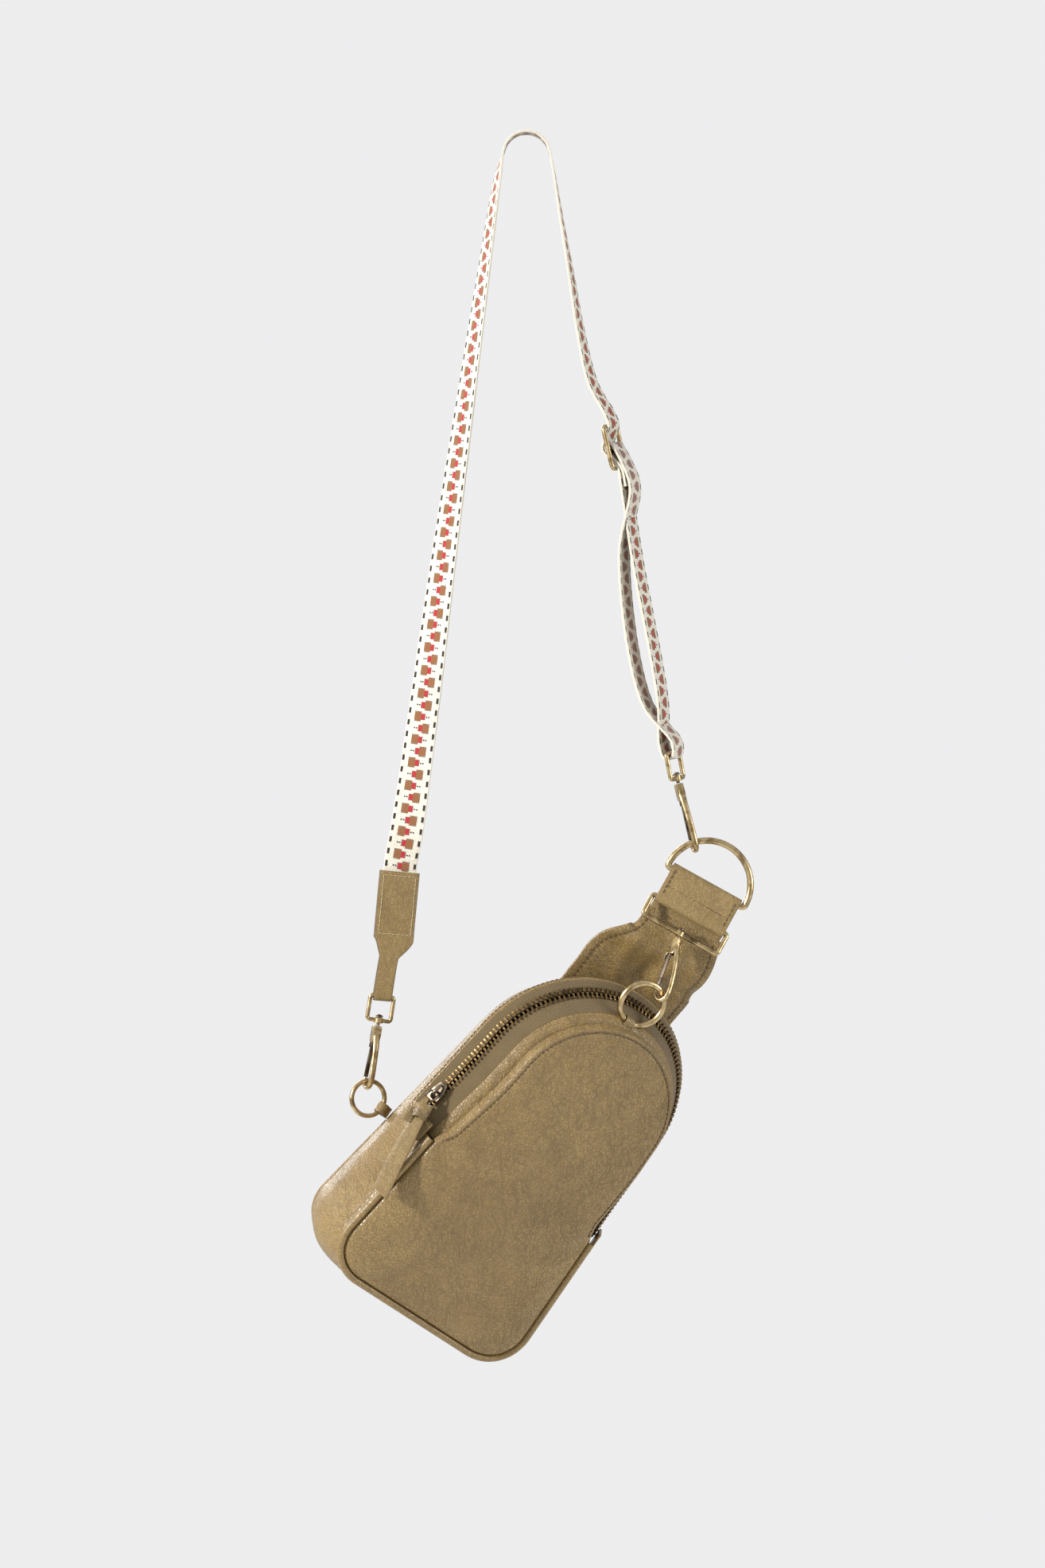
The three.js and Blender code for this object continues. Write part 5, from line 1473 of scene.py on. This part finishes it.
@dataclass(frozen=True)
class Hook:
    """Swivel hook between a barrel and the wire that its bow holds; lengths in millimetres."""

    name: str
    boss: Vector
    wire_point: Vector
    wire: float
    hint: Vector
    bar: float = 2.6
    slack: float = 1.8
    bow: float = 5.4

    def build(self, shop: Workshop) -> None:
        """Makes and fits the hook's pieces."""
        name, body = self.name, f"{self.name}_hook"
        place = frame_at(self.boss, self.boss - self.wire_point, self.hint)
        length = (self.boss - self.wire_point).length / MM + self.bar + self.wire + self.slack
        shop.fit(f"{name}_swivel_pin_turned", self.swivel().moved(place), [Look.ANTIQUE], body,
                 [f"{name}_swivel_pin"], 30)
        shop.fit(f"{name}_hook_body_cast", self.body(length).moved(place), [Look.BRASS], body,
                 [f"{name}_hook_body"], 35)
        shop.fit(f"{name}_hook_gate_sprung", self.gate(length).moved(place), [Look.ANTIQUE], f"{name}_gate",
                 [f"{name}_hook_gate"], 35)
        turn = Matrix.Translation(mm(-2.4, 0, -10.6)) @ Matrix.Rotation(math.pi / 2, 4, "X")
        shop.fit(f"{name}_gate_pin_riveted", pin(0.75, 5.3).moved(place @ turn), [Look.ANTIQUE], body,
                 [f"{name}_gate_pin"], 30)

    def swivel(self) -> Shape:
        """Stem through the barrel with a domed head."""
        profile = [(1e-4, -3.2), (1.15, -3.2), (1.15, 2.05), (2.1, 2.05), (2.3, 2.3), (2.3, 2.9), (1.9, 3.4), (1.1, 3.75),
                   (1e-4, 3.85)]
        return lathe(profile)

    def body(self, length: float) -> Shape:
        """Cheeks round the gate's pin, then a bar that runs round the bow."""
        drop = -(length - self.bar / 2)
        bow = self.bow
        stops = [mm(0.9, 0, -6.5), mm(1.6, 0, -11), mm(3.2, 0, drop * 0.36), mm(bow * 0.92, 0, drop * 0.6),
                 mm(bow, 0, drop * 0.84), mm(bow * 0.76, 0, drop * 0.95), mm(0, 0, drop), mm(-bow * 0.76, 0, drop * 0.95),
                 mm(-bow, 0, drop * 0.86)]
        path = curve_points(stops, 0.7 * MM)
        sizes = ((0, 2.3, 1.5), (0.35, 1.9, 1.3), (0.9, 1.75, 1.3), (1, 1.25, 0.95))
        result = sweep(path, Vector((0, 1, 0)), lambda t: oval(*between(sizes, t), sides=16))
        cheek = rounded([(2.3, -3.6), (2.5, -9), (1.2, -14.3), (-3.6, -14.3), (-4.1, -10), (-3.6, -3.6)], 1.3)
        for side in (-1, 1):
            low, high = sorted((side * 1.45, side * 2.45))
            result.join(slab(cheek, low, high, 0.25))
        crown = rounded([(2.3, -3.55), (2.4, -7.2), (-3.7, -7.2), (-3.5, -3.55)], 0.8)
        return result.join(slab(crown, -2.4, 2.4, 0.4))

    def gate(self, length: float) -> Shape:
        """Flat sprung gate from its pin to the bow's nose."""
        tip = -(length - self.bar / 2) * 0.86 + 0.6
        stops = [mm(-2.4, 0, -8.6), mm(-2.4, 0, -11.6), mm(-3.4, 0, -16), mm(-self.bow, 0, tip)]
        path = curve_points(stops, 0.8 * MM)
        sizes = ((0, 2.0, 2.5), (0.3, 2.0, 2.5), (1, 2.5, 2.1))
        gate = sweep(path, Vector((0, 1, 0)), lambda t: soft_strip(*between(sizes, t), 0.45, 3))
        lever = curve_points([mm(-3.2, 0, -12), mm(-5.0, 0, -14.5), mm(-5.9, 0, -17.5)], 0.7 * MM)
        return gate.join(sweep(lever, Vector((0, 1, 0)), soft_strip(2.6, 1.0, 0.4, 3)))


@dataclass
class Rings:
    """Round rings on the bag with their leather tabs."""

    shop: Workshop
    form: BagForm
    top_centre: Vector = field(default_factory=lambda: mm(-6.4, 6.9, 247.4))
    left_centre: Vector = field(default_factory=lambda: mm(-99.6, 0.7, -606.6))
    yaw: float = math.radians(22)

    def build(self) -> None:
        """Makes and fits the rings and tabs."""
        fit, bag = self.shop.fit, self.form.placement
        top = bag @ Matrix.Translation(self.top_centre)
        fit("top_ring_wire", torus(14.4, 2).moved(top), [Look.BRASS], "top_ring", ["top_ring"])
        foot = bag @ frame_at(self.top_centre + mm(0, 0, -14.4), Vector((0, 0, 1)), Vector((0, 1, 0)))
        fit("top_ring_tab_folded", self.tab(2, 7, 14, 0.8).moved(foot), [Look.TAB, Look.EDGE], "bag",
            ["top_ring_tab"])
        normal = Vector((-math.sin(self.yaw), math.cos(self.yaw), 0))
        left = self.left()
        fit("left_ring_wire", torus(11, 1.5).moved(left), [Look.BRASS], "left_ring", ["left_ring"])
        seam = bag @ mm(-71.4, 56, 92)
        away = self.left_centre - seam
        away = (away - normal * away.dot(normal)).normalized()
        low = frame_at(self.left_centre - away * 11 * MM, away, normal)
        fit("left_ring_tab_folded", self.tab(1.5, 7, 6, 1.2).moved(low), [Look.TAB, Look.EDGE], "bag",
            ["left_ring_tab"])

    def left(self) -> Matrix:
        """Returns the left ring's placement."""
        return frame_at(self.left_centre, Vector((0, 0, 1)), Vector((math.cos(self.yaw), math.sin(self.yaw), 0)))

    @staticmethod
    def tab(wire: float, width: float, length: float, leather: float) -> Shape:
        """Returns a leather loop round a ring's wire with both ends together."""
        turn = wire + leather / 2 + 0.7
        half = leather / 2 + 0.175
        stops = [mm(-half, 0, -length), mm(-half, 0, -turn - 1.6), mm(-turn * 0.9, 0, -turn * 0.75)]
        stops += arc(0, 0, turn, 190, -10, 12)
        stops += [mm(turn * 0.9, 0, -turn * 0.75), mm(half, 0, -turn - 1.6), mm(half, 0, -length)]
        return sweep(curve_points(stops, 0.6 * MM), Vector((0, 1, 0)), soft_strip(width, leather, 0.35, 4), flat=True,
                     finish=lambda k: 0 if k % 9 < 4 else 1)


# ------------------------------------------------------------------ strap
def across(tangent: Vector, twist: float) -> Vector:
    """Returns the direction across the webbing when it has turned from edge-on by some degrees."""
    angle = math.radians(twist)
    sideways = Vector((-tangent.z, 0, tangent.x)).normalized()
    return Vector((0, math.cos(angle), 0)) + sideways * math.sin(angle)


LEFT_END = mm(-81.8, 0.4, -486)
END_DOWN = Vector((-6.4, 0.4, -68)).normalized()
ADJUSTER = mm(55.3, -2.6, -197.5)
RUN_DOWN = Vector((0.222, -0.016, -0.975)).normalized()
RUN_TWIST = 20.0
RUN_ACROSS = across(RUN_DOWN, RUN_TWIST)
RUN_OUT = RUN_ACROSS.cross(RUN_DOWN).normalized()
LOOP_BAR = mm(91.6, -6, -389.6)
LEFT_BOSS = mm(-93, 0.9, -557.6)
RIGHT_BOSS = mm(94.6, -6, -405.4)
SUPPORT_RADIUS = 14.0
WEBBING_WIDTH, WEBBING_THICKNESS = 21.0, 1.5


@dataclass
class Strap:
    """Webbing with its adjuster, sewn end tab and bails."""

    shop: Workshop

    def build(self) -> None:
        """Makes and fits the strap's pieces."""
        fit = self.shop.fit
        fit("strap_webbing_woven", self.webbing(), [Look.WEBBING, Look.REVERSE], "strap", ["strap_webbing"], 60)
        place = frame_at(ADJUSTER, -RUN_DOWN, RUN_ACROSS)
        fit("adjuster_frame_wire", self.adjuster().moved(place), [Look.BRASS], "strap", ["adjuster_frame"])
        bar = place @ Matrix.Rotation(math.pi / 2, 4, "Y")
        fit("adjuster_bar_turned", pin(1.3, 23, 0.3).moved(bar), [Look.ANTIQUE], "strap", ["adjuster_bar"])
        side = across(-END_DOWN, 100)
        small = frame_at(LEFT_BOSS, LEFT_END - LEFT_BOSS, side)
        fit("left_bail_wire", bail(15, 15.5, 1.3, 1.8).moved(small), [Look.BRASS], "left_bail", ["left_bail"])
        tab = frame_at(LEFT_END - END_DOWN * 22 * MM, -END_DOWN, side)
        fit("strap_end_tab_folded", self.end_tab(tab, small).moved(tab), [Look.TAB, Look.EDGE, Look.PALE_THREAD],
            "strap", ["strap_end_tab"])
        wide = frame_at(RIGHT_BOSS, LOOP_BAR - RIGHT_BOSS, RUN_ACROSS)
        fit("right_bail_wire", bail(25.4, 16, 1.4, 1.8).moved(wide), [Look.BRASS], "right_bail", ["right_bail"])

    @staticmethod
    def stops() -> list[tuple[Vector, float]]:
        """Returns the webbing's route: points and degrees turned, from the sewn end over the crest and back."""

        def left(x: float, y: float, z: float, twist: float) -> tuple[Vector, float]:
            """Returns a free stop."""
            return mm(x, y, z), twist

        def near(n: float, t: float) -> tuple[Vector, float]:
            """Returns a stop near the adjuster's bar."""
            return ADJUSTER + RUN_OUT * n * MM + RUN_DOWN * t * MM, RUN_TWIST

        down = (LOOP_BAR - ADJUSTER).normalized()

        def low(n: float, t: float) -> tuple[Vector, float]:
            """Returns a stop near the lower bar."""
            return LOOP_BAR + RUN_OUT * n * MM + down * t * MM, RUN_TWIST

        crest = SUPPORT_RADIUS + WEBBING_THICKNESS / 2
        route = [(LEFT_END, 100.0), (LEFT_END - END_DOWN * 12 * MM, 100.0), (LEFT_END - END_DOWN * 25 * MM, 100.0)]
        route += [left(-75.6, 0.4, -440, 84), left(-70.8, 0.3, -408, 72), left(-61, 0.2, -336, 60),
                  left(-51.8, 0.1, -266, 48), left(-36.8, 0, -158, 31), left(-27.1, 0, -89.5, 21),
                  left(-18, 0, -28, 11)]
        for degrees in (172, 145, 118, 90, 62, 35, 14):
            a = math.radians(degrees)
            route.append((mm(crest * math.cos(a), 0, -SUPPORT_RADIUS + crest * math.sin(a)), 0.0))
        route += [left(22.2, -0.4, -55, 5), left(28.2, -0.8, -89.5, 9), left(33.8, -1.2, -123.5, 13),
                  left(42, -1.9, -158, 18)]
        route += [near(-1.6, -22), near(-2.6, -13.5), near(1.4, -7), near(4.7, 0), near(1.4, 7), near(-2.6, 13.5),
                  near(-2, 24), left(69.3, -3.8, -266, RUN_TWIST), left(85.6, -5, -357.5, RUN_TWIST)]
        route += [low(4.3, -6), low(2.6, 2.2), low(0, 3.2), low(-2.6, 2.2), low(-4.3, -6),
                  left(75.4, -5, -357.5, RUN_TWIST), left(61.3, -3.8, -266, RUN_TWIST)]
        route += [near(-7.4, 27), near(-5.2, 9), near(-2.7, 0.8), near(-1.7, -1.9), near(0.9, -2.5), near(2.5, 0.4),
                  near(-0.9, 7), near(-4.8, 14), near(-4.8, 26)]
        return route

    def webbing(self) -> Shape:
        """One length of webbing; its outer face has the pattern."""
        stops = self.stops()
        route = smooth_route([p for p, _ in stops], 1.5 * MM)
        path = [p for _, p in route]
        sides = []
        for (at, point), tangent in zip(route, tangents(path, False)):
            i = min(int(at), len(stops) - 2)
            twist = stops[i][1] + (stops[i + 1][1] - stops[i][1]) * (at - i)
            rising = tangent.x >= 0 and point.x < -SUPPORT_RADIUS * MM
            sides.append(across(tangent if rising else RUN_DOWN, twist))
        steps = 8
        section = soft_strip(WEBBING_WIDTH, WEBBING_THICKNESS, 0.45, steps)
        turn = steps + 5
        return sweep(path, sides, section, flat=True, finish=lambda k: 1 if k % (2 * turn) < steps else 0)

    @staticmethod
    def adjuster() -> Shape:
        """Wire frame of the adjuster."""
        wide, tall, corner = 13.0, 13.5, 3.0
        path = []
        for sx, sz, start in ((1, -1, -90), (1, 1, 0), (-1, 1, 90), (-1, -1, 180)):
            path += arc(sx * (wide - corner), sz * (tall - corner), corner, start, start + 90, 10)
        return sweep(path, Vector((0, 1, 0)), oval(1.5, 1.3, sides=18), True)

    @staticmethod
    def end_tab(tab: Matrix, small: Matrix) -> Shape:
        """Leather folded round the bail's upper bar, both layers sewn over the webbing's end.

        Args:
            tab: Placement of the tab's own frame.
            small: Placement of the bail.

        Returns:
            The tab in its own frame.
        """
        bar = tab.inverted() @ small @ mm(0, 0, 15.5) / MM
        turn, half = 1.3 + 0.8 + 0.35, 0.75 + 0.35 + 0.8

        def layer(sign: int) -> list[Vector]:
            """Returns one layer's stops from its top down to the bar."""
            return [mm(0, sign * half, 0), mm(0, sign * half, -12), mm(0, sign * half, -24), mm(0, sign * half, -36),
                    mm(0, sign * half, -43), mm(bar.x * 0.5, bar.y * 0.6 + sign * turn * 0.95, -54),
                    mm(bar.x, bar.y + sign * turn, bar.z)]

        fold = [mm(bar.x, bar.y + turn * math.cos(a), bar.z - turn * math.sin(a))
                for a in (math.pi * k / 8 for k in range(1, 8))]
        path = curve_points(layer(1) + fold + layer(-1)[::-1], 1.0 * MM)

        def width(p: Vector) -> float:
            """Returns the tab's width at a height: full, cut in at the corners, then narrow."""
            depth = -p.z / MM
            return 25.0 if depth < 43 else max(11.6, 25.0 - (depth - 43) * 1.2)

        steps = 8
        last = len(path) - 1
        result = sweep(path, Vector((1, 0, 0)), lambda t: soft_strip(width(path[round(t * last)]), 1.6, 0.5, steps),
                       flat=True, finish=lambda k: 0 if k % (steps + 5) < steps else 1)
        for face in (-1, 1):
            y = face * (half + 0.85)
            row = [mm(x, y, z) for x, z in ((-10.2, -39.5), (-10.2, -2.8), (10.2, -2.8), (10.2, -39.5),
                                            (-10.2, -39.5))]
            for a, b in zip(row, row[1:]):
                result.join(stitches([a, a.lerp(b, 0.5), b], Vector((0, face, 0)), 2.7, 0.26).tinted(2))
        return result


# ------------------------------------------------------------------ stage
@dataclass(frozen=True)
class Lamp:
    """Area light."""

    name: str
    place: tuple[float, float, float]
    target: tuple[float, float, float]
    size: float
    power: float
    colour: tuple[float, float, float]

    def build(self) -> None:
        """Adds the light to the scene."""
        data = bpy.data.lights.new(self.name, "AREA")
        data.shape = "DISK"
        data.size = self.size
        data.energy = self.power
        data.color = self.colour
        light = bpy.data.objects.new(self.name, data)
        light.location = self.place
        light.rotation_euler = (Vector(self.target) - Vector(self.place)).to_track_quat("-Z", "Y").to_euler()
        bpy.context.scene.collection.objects.link(light)


@dataclass
class Studio:
    """Camera, lights, surroundings and ground."""

    camera_place: tuple[float, float, float] = (-0.0025, -4.0, -0.409)
    view_angle: float = 14.05
    lamps: tuple[Lamp, ...] = (
        Lamp("key", (-2.75, -1.95, 0.75), (0.0, 0.0, -0.6), 0.42, 176.0, (1.0, 0.98, 0.95)),
        Lamp("fill", (3.3, -1.1, -0.2), (0.0, 0.0, -0.4), 1.6, 66.0, (1.0, 0.99, 0.98)),
        Lamp("back_rim", (-1.2, 2.4, 0.6), (0.0, 0.0, -0.55), 1.6, 26.0, (1.0, 1.0, 1.0)),
    )

    def camera(self) -> None:
        """Adds the main camera."""
        data = bpy.data.cameras.new("main_camera")
        data.sensor_fit = "VERTICAL"
        data.angle = math.radians(self.view_angle)
        data.clip_start = 0.05
        camera = bpy.data.objects.new("main_camera", data)
        camera.location = self.camera_place
        camera.rotation_euler = (math.radians(90), 0, 0)
        bpy.context.scene.collection.objects.link(camera)
        bpy.context.scene.camera = camera

    def surroundings(self) -> None:
        """Gives the pale backdrop seen by the camera and the room that the metal reflects."""
        world = bpy.data.worlds.new("room")
        bpy.context.scene.world = world
        world.use_nodes = True
        world.node_tree.nodes.clear()
        graph = Graph(world.node_tree)
        place = graph.add("TexCoord")
        split = graph.add("SeparateXYZ", Vector=place.outputs["Generated"])
        height = graph.between(split.outputs[2], -0.6, 0.8)
        side = graph.between(split.outputs[0], 0.75, -0.75)
        room = graph.mix(height, (0.3, 0.3, 0.3, 1), (0.62, 0.62, 0.63, 1))
        room = graph.mix(graph.math("MULTIPLY", side, 0.55), room, (0.95, 0.95, 0.94, 1))
        ray = graph.add("LightPath")
        seen = graph.mix(ray.outputs["Is Camera Ray"], room, (0.85, 0.85, 0.86, 1))
        background = graph.add("Background", Color=seen, Strength=1.0)
        output = graph.add("OutputWorld")
        graph.feed(output.inputs[0], background.outputs[0])

    def ground(self, shop: Workshop) -> None:
        """Adds the pale ground below the object."""
        rings = [[mm(r * math.cos(a), r * math.sin(a), -1060 - 0.4 * (r > 0)) for a in
                  (2 * math.pi * k / 96 for k in range(96))] for r in (1, 250, 500, 750, 1000)]
        floor = shop.mesh("pale_ground_disc", skin(rings, [0.1 * k for k in range(6)], [[0.0] * 97] * 5, caps=False),
                          [Look.FLOOR])

    def view(self) -> None:
        """Sets the tone curve."""
        settings = bpy.context.scene.view_settings
        settings.view_transform = "Standard"
        settings.look = "None"
        settings.exposure = 0.0
        settings.gamma = 1.0


def build_hooks(shop: Workshop, form: BagForm, neck: Neck, rings: Rings) -> None:
    """Hangs the three swivel hooks between their barrels and rings."""
    yaw = rings.yaw
    left_wire = rings.left() @ mm(0, 0, 11)
    Hook("left", LEFT_BOSS, left_wire, 1.5, Vector((math.sin(yaw), -math.cos(yaw), 0))).build(shop)
    angle = math.radians(137)
    d_wire = neck.top @ mm(27.4 * math.cos(angle), 0, 1 + 27.4 * math.sin(angle))
    Hook("right", RIGHT_BOSS, d_wire, 2.1, Vector((0.2, -0.98, 0))).build(shop)
    angle = math.radians(25)
    top_wire = form.placement @ (rings.top_centre + mm(14.4 * math.sin(angle), 0, 14.4 * math.cos(angle)))
    front = form.placement.to_3x3() @ Vector((0.3, -1, 0))
    Hook("front", neck.rect.translation.copy(), top_wire, 2.0, front).build(shop)


def build_scene() -> None:
    """Builds every sub-assembly in order."""
    random.seed(7)
    studio = Studio()
    studio.camera()
    shop = Workshop()
    form = BagForm()
    neck = Neck(shop, form)
    rings = Rings(shop, form)
    BagBody(shop, form).build()
    Zip(shop, form).build()
    neck.build()
    rings.build()
    build_hooks(shop, form, neck, rings)
    Strap(shop).build()
    for lamp in studio.lamps:
        lamp.build()
    studio.surroundings()
    studio.ground(shop)
    studio.view()
    LOG.info("%d pieces", len(shop.made))


if __name__ == "__main__":
    logging.basicConfig(level=logging.INFO, format="%(name)s: %(message)s")
    build_scene()
